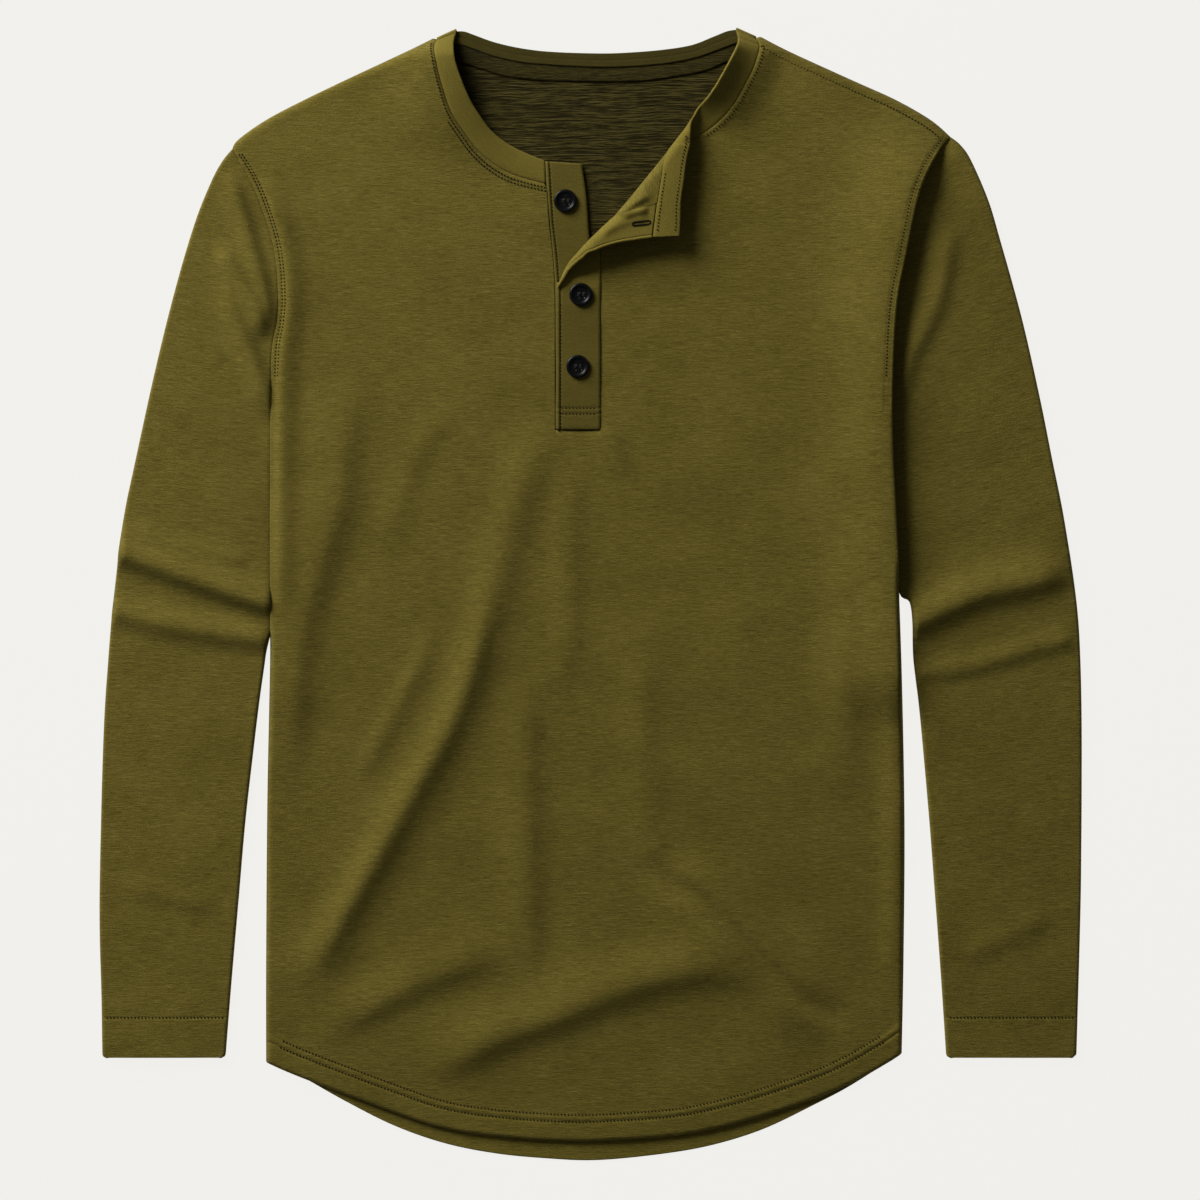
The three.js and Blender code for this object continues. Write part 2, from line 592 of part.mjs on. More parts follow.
// Sleeve: a flattened tube from the armhole to the cuff, its lower layer flat on the surface.
function sleeve({ outer, inner }, bodySide, side) {
  const bodyEdge = fineTable(bodySide);
  const armhole = bodyEdge.filter(([, y]) => y >= inner[0][1]);
  const away = side * ARMHOLE_GAP;
  const armholeCurve = curveThrough(armhole.map(([x, y]) => [x + away, y]));
  const outerCurve = curveThrough(outer.map(([x, y]) => [x - side * PANEL_WALL / 2, y]));
  const innerCurve = curveThrough(inner.map(([x, y]) => [x + side * PANEL_WALL / 2, y]));
  const shares = spaced(0, 1, 9).concat(1);
  const rows = [0, 0.02, 0.05, ...spaced(0.1, 0.4, 6), ...spaced(0.4, 0.56, 9), ...spaced(0.56, 1, 6), 1];
  const edgeOf = (v) => ({ outer: outerCurve.getPointAt(v), inner: innerCurve.getPointAt(v) });
  const planPoint = (u, v) => {
    const ends = edgeOf(v);
    const point = ends.outer.clone().lerp(ends.inner, u);
    const start = edgeOf(0).outer.lerp(edgeOf(0).inner, u);
    const bulge = armholeCurve.getPointAt(u).sub(start);
    point.addScaledVector(bulge, (1 - v) ** 5);
    const fold = (PANEL_WALL / 2) * smoothStep((u - 0.88) / 0.1);
    const limit = lookUp(bodyEdge, 1, point.y)[0] + side * (ARMHOLE_GAP + fold);
    if (side * (point.x - limit) < 0) point.x = limit;
    return point;
  };
  const ring = (v) => {
    const open = smoothStep(v / 0.06);
    const heightAt = (point) => (
      THREE.MathUtils.lerp(EDGE_HEIGHT, SLEEVE_HEIGHT + foldsAt(SLEEVE_FOLDS, point.x, point.y), open)
    );
    const floor = PANEL_WALL / 2;
    const width = planPoint(0, v).distanceTo(planPoint(1, v));
    const turn = (u, share) => {
      const top = heightAt(planPoint(u, v));
      const radius = (top - floor) / 2;
      const inset = (radius * (1 - Math.cos(Math.PI * (share - 0.5)))) / width;
      const point = planPoint(u === 0 ? inset : 1 - inset, v);
      return new THREE.Vector3(point.x, point.y, floor + radius + radius * Math.sin(Math.PI * (share - 0.5)));
    };
    const flat = (share, level) => {
      const edge = (heightAt(planPoint(share < 0.5 ? 0 : 1, v)) - floor) / 2 / width;
      const point = planPoint(edge + (1 - 2 * edge) * share, v);
      return new THREE.Vector3(point.x, point.y, level === 'top' ? heightAt(point) : floor);
    };
    return [
      ...shares.map((share) => flat(share, 'top')),
      turn(1, 0.75), turn(1, 0.5), turn(1, 0.25),
      ...[...shares].reverse().map((share) => flat(share, 'floor')),
      turn(0, 0.25), turn(0, 0.5), turn(0, 0.75),
    ];
  };
  const grid = rows.map(ring);
  const outward = side < 0 ? grid.map((row) => row.reverse()).reverse() : grid.reverse();
  return wallOf(surfaceOf([outward], true), PANEL_WALL);
}

// Buttons: a dished disc with a raised rim and four holes.
const wasm = await Module();
wasm.setup();

function toSolid(geometry) {
  const bare = geometry.clone();
  bare.deleteAttribute('normal');
  bare.deleteAttribute('uv');
  const merged = mergeVertices(bare, 1e-4);
  return new wasm.Manifold(new wasm.Mesh({
    numProp: 3,
    vertProperties: new Float32Array(merged.attributes.position.array),
    triVerts: new Uint32Array(merged.index.array),
  }));
}

function toGeometry(solid) {
  const { vertProperties, triVerts } = solid.getMesh();
  const geometry = new THREE.BufferGeometry();
  geometry.setAttribute('position', new THREE.BufferAttribute(new Float32Array(vertProperties), 3));
  geometry.setIndex(new THREE.BufferAttribute(new Uint32Array(triVerts), 1));
  return geometry;
}

function button() {
  const radius = BUTTON_DIAMETER / 2;
  const profile = [
    [0, 0], [radius - 1, 0], [radius, 0.8], [radius, BUTTON_THICKNESS - 0.5],
    [radius - 0.5, BUTTON_THICKNESS],
    [radius - BUTTON_RIM, BUTTON_THICKNESS], [radius - BUTTON_RIM - 0.8, BUTTON_THICKNESS - BUTTON_DISH],
    [0, BUTTON_THICKNESS - BUTTON_DISH],
  ];
  const disc = new THREE.LatheGeometry(profile.map(toVector), BUTTON_SEGMENTS).rotateX(Math.PI / 2);
  let solid = toSolid(disc);
  [[1, 1], [1, -1], [-1, 1], [-1, -1]].forEach(([sx, sy]) => {
    const hole = new THREE.CylinderGeometry(BUTTON_HOLE / 2, BUTTON_HOLE / 2, BUTTON_THICKNESS * 3, 6);
    hole.rotateX(Math.PI / 2).translate((sx * BUTTON_HOLE_SPACING) / 2, (sy * BUTTON_HOLE_SPACING) / 2, 0);
    solid = solid.subtract(toSolid(hole));
  });
  return toGeometry(solid);
}

const OLIVE = 0x5d5224;
const OLIVE_DARK = 0x463c18;
const HORN = 0x17171b;
const BUTTONS = [
  { name: 'button_1', x: -16.5, y: 258.9, seat: UNDER_STRIP_HEIGHT },
  { name: 'button_2', x: -6.3, y: 197.1, seat: TOP_STRIP_HEIGHT },
  { name: 'button_3', x: -8.3, y: 149.7, seat: TOP_STRIP_HEIGHT },
];

const shirt = new THREE.Group();

function add(name, geometry, color, roughness, place = [0, 0, 0]) {
  const mesh = new THREE.Mesh(geometry, new THREE.MeshStandardMaterial({ color, roughness, metalness: 0 }));
  mesh.name = name;
  mesh.position.set(...place);
  shirt.add(mesh);
}

add('back_panel', backPanel(), OLIVE_DARK, 0.95);
add('front_panel', frontPanel(), OLIVE, 0.95);
add('sleeve_right', sleeve(SLEEVE_RIGHT, SIDE_RIGHT, -1), OLIVE, 0.95);
add('sleeve_left', sleeve(SLEEVE_LEFT, SIDE_LEFT, 1), OLIVE, 0.95);
add('neckband', neckband(), OLIVE, 0.9);
add('neck_tape', neckTape(), OLIVE_DARK, 0.9);
add('placket_under_strip', underStrip(), OLIVE, 0.9);
add('placket_top_strip', topStrip(), OLIVE, 0.9);
BUTTONS.forEach(({ name, x, y, seat }) => {
  add(name, button(), HORN, 0.3, [x, y, seat + PANEL_WALL / 2 + SEAM_GAP]);
});

export default shirt;
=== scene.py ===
# Long-sleeved henley shirt laid flat on a pale surface, front up, its placket's top corner folded open.
# Tables and sizes are in millimetres and become metres where a mesh is made.
# X runs to the wearer's left, Y to the neck, Z up. Right and left are the wearer's.

import math

import bpy
import numpy as np
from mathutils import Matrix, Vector


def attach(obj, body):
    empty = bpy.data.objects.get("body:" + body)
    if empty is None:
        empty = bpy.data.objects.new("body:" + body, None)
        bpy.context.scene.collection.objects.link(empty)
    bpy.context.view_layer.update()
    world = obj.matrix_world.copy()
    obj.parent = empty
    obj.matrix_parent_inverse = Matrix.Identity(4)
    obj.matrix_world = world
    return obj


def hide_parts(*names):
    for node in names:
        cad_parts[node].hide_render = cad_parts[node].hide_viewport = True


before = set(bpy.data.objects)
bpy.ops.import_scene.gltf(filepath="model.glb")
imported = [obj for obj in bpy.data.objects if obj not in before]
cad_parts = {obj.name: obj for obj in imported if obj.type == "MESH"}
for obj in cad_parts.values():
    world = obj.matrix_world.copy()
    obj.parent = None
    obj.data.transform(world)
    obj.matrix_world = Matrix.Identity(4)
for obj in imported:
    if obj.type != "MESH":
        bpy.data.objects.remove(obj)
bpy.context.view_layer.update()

MM = 0.001

# Walls and heights of the cloth
CAD_WALL = 1.2
JERSEY = 0.9
BAND = 1.5
TAPE = 0.7
EDGE_HEIGHT = 1.5
FRONT_HEIGHT = 3.4
LOWEST_FRONT = 1.8
UNDER_STRIP_HEIGHT = 3.0
TOP_STRIP_HEIGHT = 4.5
SLEEVE_HEIGHT = 3.4
SIDE_ROLL = 2.6
SHOULDER_ROLL = 5.0
HEM_ROLL = 2.5

# Where the sleeves lie along the body they are tucked under its edge
TUCK = 1.8
TUCKED_HEIGHT = 1.55
LIP_HEIGHT = 2.6
SLEEVE_RISE = {-1: 2.5, 1: 17.0}
CONTACT = {-1: (-42.0, 296.0), 1: (-6.0, 304.0)}

# Standing parts of the neck: height, reach, and the height on the body where it starts, its run and its end
NECK_RISE_RIGHT = (9.0, 26, 270, 78, 368)
NECK_RISE_LEFT = (3.5, 11, 300, 25, 370)
NECK_RISE_FADE = 16

# Uneven surface of the cloth: height, size of a hill, and seed
FRONT_HILLS = (0.35, 34, 3)
FRONT_SMALL_HILLS = (0.16, 15, 4)
SLEEVE_HILLS = (0.3, 26, 8)
SLEEVE_SMALL_HILLS = (0.14, 11, 9)
STRIP_HILLS = (0.12, 14, 21)

# Placket
PLACKET_BOTTOM = 108.2
STRIP_LEFT = -22.0
STRIP_RIGHT = 6.5
SEAM = 0.25
BAND_WIDTH = 16.0

# Seams and rows of stitches, measured from the cloth's edge
HEM_ROWS = (12.6, 17.2)
CUFF_ROW = 26.4
CUFF_CORNER = 2.4
STITCH_LIFT = 0.3
CUFF_Y = -305.6
ARMHOLE_GROOVES = {-1: (2.2, 4.2), 1: (1.7, 4.0)}
NECK_ROWS = (2.7, 5.0)
SHOULDER_ROW = 6.0

# Buttons: x, y, height of their seat
BUTTON_RADIUS = 7.6
BUTTONS = {
    "button_1": (-16.5, 258.9, UNDER_STRIP_HEIGHT),
    "button_2": (-6.3, 197.1, TOP_STRIP_HEIGHT),
    "button_3": (-8.3, 149.7, TOP_STRIP_HEIGHT),
}

# Outlines. Each row is x, y.
SHOULDER_RIGHT = [
    (-103, 366.3), (-121, 357.4), (-160.5, 339), (-188.4, 325.6), (-213.5, 312.4), (-232, 299.4),
    (-236, 293),
]
SHOULDER_LEFT = [(111.6, 367.4), (131, 357.4), (171.3, 339), (201, 325.6), (224, 312.4), (237.4, 301)]
SIDE_RIGHT = [
    (-236, 293), (-225.5, 276.5), (-216.2, 256), (-207.8, 228), (-205, 197), (-206.3, 178), (-209.6, 152),
    (-210.2, 60), (-210.2, -30), (-212.2, -136), (-213, -242), (-213, -308.5),
]
SIDE_LEFT = [
    (237.4, 301), (227.4, 289.5), (215.5, 264), (206.5, 222), (201, 193), (198.4, 156), (197.7, 110),
    (199.7, 62), (202.6, 2.6), (204.9, -70), (206.3, -156), (205.6, -242), (204.4, -303),
]
FRONT_HEM = [
    (-213, -308.5), (-192.4, -317.5), (-137, -338.6), (-96.7, -351.8), (-54.5, -357.9), (-12, -360.4),
    (22, -359.3), (64.4, -355.5), (106, -345.8), (148.2, -332), (173.3, -321.2), (195, -309), (204.4, -303),
]
BACK_HEM = [
    (-213, -308.5), (-191, -318.2), (-164, -333.3), (-130.4, -350.3), (-96.7, -362.2), (-63, -369),
    (-29.4, -372.3), (4.3, -373.5), (47.2, -369.4), (80.9, -363.4), (114.5, -352.8), (148.2, -336.6),
    (170, -325.2), (195, -309.4), (204.4, -303),
]
SLEEVE_RIGHT_OUTER = [
    (-236.6, 294), (-243, 286), (-250, 273), (-260.4, 246.8), (-272.3, 207), (-285.5, 154.4), (-300, 88.4),
    (-308, 48.8), (-314.5, -4), (-318, -43.6), (-321.2, -96.4), (-323.7, -202), (-322.4, -268),
    (-321.8, -305.6),
]
SLEEVE_RIGHT_INNER = [
    (-210.2, 151), (-210.8, 90), (-211.2, 30), (-212.4, 0), (-213, -30), (-218.2, -70), (-221.4, -96.4),
    (-227.4, -149), (-232, -202), (-236.6, -255), (-240.6, -305.6),
]
SLEEVE_LEFT_OUTER = [
    (238, 301.5), (244, 296.5), (251, 286.4), (262.4, 260), (270.3, 233.6), (284.8, 180.8), (296.7, 128),
    (304.6, 88.4), (312.5, 48.8), (320.4, -4), (323.1, -43.6), (324, -96.4), (323.7, -169), (323, -215),
    (320.4, -305.6),
]
SLEEVE_LEFT_INNER = [
    (198.4, 130), (200.3, 62), (203.2, 4), (211, -7.5), (213, -43.6), (216.2, -70), (218.8, -96.4),
    (223.4, -149), (227.4, -202), (231.3, -255), (234.6, -305.6),
]

# Neckband. Each row is the neck edge's x, y and the seam's x, y. The left front is given unfolded.
BAND_FRONT_RIGHT = [
    (-30.0, 285.4, -29.2, 270.2), (-45.2, 291.7, -50, 276), (-57.1, 298.3, -64, 283.5),
    (-65.7, 305.6, -75, 293), (-72.3, 314.2, -84, 305), (-78.9, 324.7, -92, 317.5), (-85, 339, -98, 335.5),
    (-88.9, 351, -101.6, 350.5), (-90, 363, -102.8, 360.5), (-88, 371, -100.6, 365.2),
]
BAND_BACK = [
    (-88, 371, -100.6, 365.2), (-83, 370.8, -90, 363.2), (-77.6, 368.9, -80, 360.5), (-63, 363.7, -65, 355),
    (-45.2, 359.7, -46.5, 350.8), (-25, 357.4, -25.5, 348.8), (6.3, 356.4, 6.3, 347.4),
    (27.4, 357.1, 28, 347.9), (49.2, 359, 51, 350), (67, 362, 69, 353.5), (81.5, 367.6, 84, 358.6),
    (90, 371, 97, 363.4), (95.8, 372, 108.6, 366.2),
]
BAND_FRONT_LEFT = [
    (95.8, 372, 108.6, 366.2), (97.2, 366, 111.4, 361.5), (96, 359.7, 110.6, 356),
    (92.1, 351.1, 106.8, 345), (86.1, 339.9, 100.2, 332.4), (80.9, 331.3, 94.6, 322.7),
    (74.3, 323.4, 84.8, 311.4), (63.6, 315.6, 68.6, 300.6), (44.4, 311.4, 49.6, 296),
    (33.4, 307.2, 39.8, 292.6), (16.2, 301.6, 21.8, 286.6), (4.3, 297, 9.7, 282),
    (-12.2, 291.7, -8.1, 276.2), (-21.8, 287.8, -21.8, 271.5),
]
TAPE_LOWER_EDGE = [
    (-73.6, 346.8), (-59.7, 342.5), (-45.2, 339.9), (-27.4, 338.6), (6.3, 337.9), (27.4, 338.2),
    (41.9, 339.2), (59.7, 341.9), (71, 343.9), (81.5, 347.2), (88.5, 350.5),
]
UNDER_STRIP_RIGHT_EDGE = [
    (-23, 108.6), (-23, 160), (-23.2, 200), (-24.6, 223.7), (-27.2, 247.5), (-29.4, 285),
]
UNDER_STRIP_LEFT_EDGE = [(6.2, 108.6), (6, 160), (3.5, 205), (-0.7, 233.6), (-3, 262.7), (-5.9, 283.5)]

# Placket corner, folded open about an apex on the strip's free edge. Each row is the distance from the apex,
# the angle of the visible fold, the angle where the free edge lies, and the radius of the roll.
FLAP_APEX = (-21.9, 200.6)
FLAP = np.array([
    (0, 68, 64, 0.4), (14, 67, 63.5, 2.4), (20, 64, 60, 3.8), (26, 60, 53.5, 4.8), (35, 57, 44.6, 5.6),
    (44, 54.4, 39.5, 6), (52, 52.8, 35.4, 6), (60, 51.4, 31.6, 6), (77, 51, 25.5, 6), (87, 51, 22.8, 6),
    (110, 51, 22.4, 5.6), (135, 51.2, 22, 4.4), (146, 51.6, 22, 3.4), (156, 53.4, 22, 3), (166, 56, 22, 3),
    (190, 63, 22, 3), (230, 75, 22, 3),
])

# Folds. Each row is the height, the reach of the upper left flank, the reach of the other flank, the length
# over which both ends fade, and the crest's path. A fold of negative height is a crease.
BODY_FOLDS = [
    (3.2, 15, 15, 50, [(-29, 122), (-32, 106), (-39, 86), (-49, 60), (-57, 29), (-66, -4), (-75, -37),
        (-85, -70), (-101, -103), (-120, -136), (-138, -169), (-157, -202), (-175, -235), (-194, -268)]),
    (2.5, 9, 8, 70, [(-60, 20), (-66, -4), (-75, -37), (-85, -70), (-101, -103), (-120, -136), (-138, -169),
        (-157, -202), (-175, -235), (-190, -262)]),
    (1.0, 9, 9, 40, [(-76, 134), (-102, 110), (-118, 84), (-129, 49), (-136, 20)]),
    (1.6, 7, 8, 46, [(-97, -10), (-112, -44), (-128, -76), (-146, -110), (-160, -134)]),
    (4.0, 32, 13, 60, [(-156, 150), (-163, 106), (-168, 62), (-184, 9), (-193, -30), (-197, -70),
        (-201, -136)]),
    (3.4, 17, 10, 56, [(-188, -296), (-168, -284), (-142, -270), (-116, -256), (-88, -246), (-60, -238),
        (-42, -233)]),
    (4.7, 20, 11, 60, [(-122, -319), (-100, -309), (-82, -302), (-62, -292), (-29, -280), (4, -266),
        (31, -256), (58, -249.5), (79, -247.5), (99, -252), (116, -262)]),
    (4.2, 24, 24, 40, [(44, -172), (72, -206), (99, -230), (119, -250), (139, -270), (166, -284)]),
    (-5.2, 6.8, 6.8, 44, [(38, -168), (56, -190), (72, -202), (99, -228), (119, -249), (139, -267),
        (158, -279), (174, -286)]),
    (1.3, 14, 11, 50, [(34, -10), (34, -60), (35, -110), (40, -150), (52, -184)]),
    (1.4, 12, 9, 40, [(-15, 96), (-15, 50), (-14, 10), (-14, -66)]),
    (1.1, 9, 6, 20, [(9, 118), (13, 104), (19, 88), (23, 70)]),
    (2.3, 16, 10, 50, [(-44, -50), (-43, -100), (-42, -180), (-41, -232), (-46, -264)]),
    (1.6, 16, 10, 60, [(166, 40), (167, -20), (167, -80), (168, -140)]),
    (10.8, 33, 9, 40, [(238, 304), (225.5, 290), (212.8, 262), (204.5, 222), (198.4, 184), (196.3, 150),
        (195.8, 110), (197.9, 60), (200.3, 10), (202, -40), (203.4, -90)]),
    (2.4, 9, 9, 60, [(199, -20), (200.5, -80), (201.5, -140), (200.5, -220), (199, -280)]),
    (3.0, 4.6, 9, 40, [(-221, 284), (-209, 256), (-200.5, 226), (-198, 196), (-199.5, 176), (-202.5, 152),
        (-203.4, 60), (-203.5, -20)]),
]
SLEEVE_FOLDS = [
    (6.0, 12, 6.6, 12, [(-324, 33), (-306, 26), (-290, 20), (-258, 8.5), (-234, 0), (-190, -13)]),
    (1.2, 5, 4, 16, [(-316, 48), (-284, 36), (-250, 27), (-220, 20)]),
    (3.6, 9, 7, 12, [(-322, -8), (-290, -18), (-250, -25), (-206, -31)]),
    (3.4, 9, 6.5, 26, [(-244, 210), (-240, 196), (-228, 168), (-217, 138), (-208, 110)]),
    (3.2, 8, 5, 14, [(-249, 228), (-240, 221), (-230, 206), (-219, 182), (-214, 166)]),
    (3.0, 8, 5, 20, [(-240, 282), (-233, 262), (-224, 232), (-215, 198), (-211, 170)]),
    (5.8, 14, 9, 26, [(180, -34), (204, -24), (226, -13), (254, -1), (282, 6), (322, 16)]),
    (2.0, 8, 6, 12, [(204, -54), (250, -48), (284, -38), (322, -28)]),
    (2.6, 9, 7, 24, [(239, 248), (236.5, 236), (229.5, 197), (219.5, 174), (208, 151), (201.5, 124)]),
    (1.3, 10, 8, 20, [(240, -240), (262, -232), (290, -218), (306, -208)]),
    (1.2, 8, 7, 20, [(-312, -188), (-276, -200), (-242, -206)]),
]


# Curves

def fine(rows, steps=24):
    """Smooth line through the rows of a table, with 'steps' points to a row."""
    p = np.array(rows, float)
    before = np.vstack([p[:1], p[:-2]])
    after = np.vstack([p[2:], p[-1:]])
    a, b = p[:-1], p[1:]
    va, vb = (b - before) / 2, (after - a) / 2
    t = np.linspace(0, 1, steps, endpoint=False)[:, None, None]
    line = (2 * a - 2 * b + va + vb) * t**3 + (3 * b - 3 * a - 2 * va - vb) * t**2 + va * t + a
    return np.vstack([line.transpose(1, 0, 2).reshape(-1, p.shape[1]), p[-1:]])


def at_shares(line, shares):
    """Points of a line at shares of its length."""
    steps = np.hypot(*np.diff(line[:, :2], axis=0).T)
    place = np.concatenate([[0], np.cumsum(steps)])
    return np.column_stack([np.interp(np.asarray(shares) * place[-1], place, c) for c in line.T])


def length_of(line):
    return float(np.hypot(*np.diff(line[:, :2], axis=0).T).sum())


def clustered(count, first=1.0, last=1.0, reach=5):
    """Shares from 0 to 1 with narrower steps at the start and at the end."""
    i = np.arange(count)
    steps = 1 - (1 - first) * np.exp(-i / reach) - (1 - last) * np.exp(-(count - 1 - i) / reach)
    return np.concatenate([[0], np.cumsum(steps)]) / steps.sum()


def read_at(line, column, value):
    """The line's other column where this column has a value."""
    order = np.argsort(line[:, column])
    return np.interp(value, line[order, column], line[order, 1 - column])


def smooth_step(t):
    t = np.clip(t, 0, 1)
    return t * t * (3 - 2 * t)


def ripple(x, y, hills):
    """Smooth random height, with hills of one size."""
    height, size, seed = hills
    lattice = np.random.default_rng(seed).uniform(-1, 1, (256, 256))
    gx, gy = np.asarray(x) / size + 100.3, np.asarray(y) / size + 100.7
    ix, iy = np.floor(gx).astype(int), np.floor(gy).astype(int)
    fx, fy = smooth_step(gx - ix), smooth_step(gy - iy)

    def corner(dx, dy):
        return lattice[(ix + dx) % 256, (iy + dy) % 256]

    low = corner(0, 0) * (1 - fx) + corner(1, 0) * fx
    high = corner(0, 1) * (1 - fx) + corner(1, 1) * fx
    return height * (low * (1 - fy) + high * fy)


def coons(bottom, top, start, end, columns, rows):
    """Grid of points between four sides: columns run from start to end, rows from bottom to top."""
    u = np.asarray(columns)[None, :, None]
    v = np.asarray(rows)[:, None, None]
    across = start[:, None] * (1 - u) + end[:, None] * u
    low = bottom[None] - (bottom[:1] * (1 - u[0]) + bottom[-1:] * u[0])[None]
    high = top[None] - (top[:1] * (1 - u[0]) + top[-1:] * u[0])[None]
    return across + low * (1 - v) + high * v


side_right = fine(SIDE_RIGHT)
side_left = fine(SIDE_LEFT)
shoulder_right = fine(SHOULDER_RIGHT)
shoulder_left = fine(SHOULDER_LEFT)
front_hem = fine(FRONT_HEM)
back_hem = fine(BACK_HEM)


# Height of the cloth

def nearest(path, x, y):
    """Distance to a path, place along it, its length, and side: 1 on the upper left, -1 across it."""
    best = np.full(np.shape(x), np.inf)
    place = np.zeros(np.shape(x))
    side = np.zeros(np.shape(x))
    travelled = 0.0
    facing_up = 1 if sum(np.asarray(path[-1]) - np.asarray(path[0])) > 0 else -1
    for (ax, ay), (bx, by) in zip(path[:-1], path[1:]):
        length = math.hypot(bx - ax, by - ay)
        share = np.clip(((x - ax) * (bx - ax) + (y - ay) * (by - ay)) / length**2, 0, 1)
        dx, dy = x - ax - share * (bx - ax), y - ay - share * (by - ay)
        distance = np.hypot(dx, dy)
        closer = distance < best
        across = ((bx - ax) * dy - (by - ay) * dx) / (length * np.maximum(distance, 1e-9))
        best = np.where(closer, distance, best)
        place = np.where(closer, travelled + share * length, place)
        side = np.where(closer, across * facing_up, side)
        travelled += length
    return best, place, travelled, side


def folds_at(folds, x, y):
    total = np.zeros(np.shape(x))
    for height, upper, lower, fade, path in folds:
        distance, place, length, side = nearest(fine(path, 6), x, y)
        reach = (upper + lower) / 2 + (upper - lower) / 2 * side
        ends = smooth_step(np.minimum(place, length - place) / fade)
        total = total + height * ends * np.exp(-((distance / reach) ** 2))
    return total


def rounded(t):
    """Quarter round: upright at 0 and level from 1 on."""
    t = np.clip(t, 0, 1)
    return np.sqrt(1 - (1 - t) ** 2)


def contact(y, side):
    """1 where the sleeve on this side is tucked under the body's edge."""
    low, high = CONTACT[side]
    return smooth_step((y - low) / 30) * smooth_step((high - y) / 14)


def from_side(x, y, side):
    line = side_left if side > 0 else side_right
    return np.maximum(side * (read_at(line, 1, y) - x), 0)


def from_line(x, y, line):
    """Distance below or above a line that runs across the shirt."""
    step = 1.0
    slope = (read_at(line, 0, x + step) - read_at(line, 0, x - step)) / (2 * step)
    return (y - read_at(line, 0, x)) / np.hypot(1, slope)


def from_shoulders(x, y):
    right = np.where(x < -100.6, -from_line(x, y, shoulder_right), np.inf)
    left = np.where(x > 108.6, -from_line(x, y, shoulder_left), np.inf)
    return np.maximum(np.minimum(right, left), 0)


def grooves(distance, rows, depth, reach=0.55):
    total = np.zeros(np.shape(distance))
    for row in rows:
        total = total - depth * np.exp(-(((distance - row) / reach) ** 2))
    return total


def turned_edge(distance, last_row, height=0.45):
    """Doubled cloth along an edge, up to its last row of stitches."""
    return height * (1 - smooth_step((distance - last_row) / 2.0))


def front_height(x, y):
    shoulders, hem = from_shoulders(x, y), np.maximum(from_line(x, y, front_hem), 0)
    rise = rounded(shoulders / SHOULDER_ROLL) * (0.4 + 0.6 * rounded(hem / HEM_ROLL))
    calm = smooth_step(np.minimum(shoulders, hem) / 30)
    for side in (-1, 1):
        kept = contact(y, side)
        rise = rise * (kept + (1 - kept) * rounded(from_side(x, y, side) / SIDE_ROLL))
    small = ripple(x, y, FRONT_HILLS) + ripple(x * 0.7, y, FRONT_SMALL_HILLS) * calm
    height = FRONT_HEIGHT + folds_at(BODY_FOLDS, x, y) + small + neck_rise(x, y)
    height = height + turned_edge(hem, HEM_ROWS[-1]) + grooves(hem, HEM_ROWS, 0.5, 0.9)
    for side in (-1, 1):
        near = np.where(y > 120, from_side(x, y, side), np.inf)
        height = height + grooves(near, ARMHOLE_GROOVES[side], 0.5, 0.6)
    height = height + grooves(np.where(x > 100, shoulders, np.inf), (SHOULDER_ROW,), 0.6, 0.7)
    return EDGE_HEIGHT + rise * (np.maximum(height, LOWEST_FRONT) - EDGE_HEIGHT)


def neck_rise(x, y):
    """The neck stands up from the back: more at the right, less beside the folded corner."""
    right = nearest(fine(BAND_FRONT_RIGHT, 4)[:, 2:], x, y)[0]
    left = nearest(fine(BAND_FRONT_LEFT[:9], 4)[:, 2:], x, y)[0]
    total = grooves(np.minimum(right, left), (0.0,), 0.7, 0.8)
    for distance, (height, reach, start, run, end) in ((right, NECK_RISE_RIGHT), (left, NECK_RISE_LEFT)):
        ends = smooth_step((y - start) / run) * smooth_step((end - y) / NECK_RISE_FADE)
        total = total + height * ends * np.exp(-((distance / reach) ** 2))
    return total


def sleeve_height(side, x, y):
    body = side_left if side > 0 else side_right
    small = ripple(x, y * 0.8, SLEEVE_HILLS) + ripple(x, y, SLEEVE_SMALL_HILLS)
    cuff = y - CUFF_Y
    full = SLEEVE_HEIGHT + folds_at(SLEEVE_FOLDS, x, y) + small
    full = full + turned_edge(cuff, CUFF_ROW, 0.35) + grooves(cuff, (CUFF_ROW,), 0.5, 0.9)
    distance = side * (x - read_at(body, 1, y)) + TUCK
    tucked = smooth_step((y - CONTACT[side][0]) / 20)
    rise = 1 - tucked * (1 - smooth_step(0.12 + distance / (TUCK + SLEEVE_RISE[side])))
    return TUCKED_HEIGHT + rise * (full - TUCKED_HEIGHT)


def folded_open(x, y, z):
    """Where points of the unfolded front lie once the placket's corner is folded open."""
    dx, dy = x - FLAP_APEX[0], y - FLAP_APEX[1]
    distance = np.maximum(np.hypot(dx, dy), 1e-6)
    fold, edge, radius = (np.interp(distance, FLAP[:, 0], FLAP[:, column]) for column in (1, 2, 3))
    start = np.radians(fold) - radius / distance
    angle = np.arctan2(dy, dx)
    roll = np.pi * radius
    back_length = np.maximum(np.radians(fold - edge) * distance - radius, 0)
    place = (angle - start) / (np.pi / 2 - start) * (roll + back_length)
    turned = np.clip(place / radius, 0, np.pi)
    shift = radius * np.sin(turned) - np.maximum(place - roll, 0)
    new_angle = start + shift / distance
    moved = (dy > 0) & (angle > start) & (angle < np.pi / 2 + 0.02)
    return np.stack([
        np.where(moved, FLAP_APEX[0] + distance * np.cos(new_angle), x),
        np.where(moved, FLAP_APEX[1] + distance * np.sin(new_angle), y),
        np.where(moved, z + radius * (1 - np.cos(turned)), z),
    ], axis=-1)


# Meshes

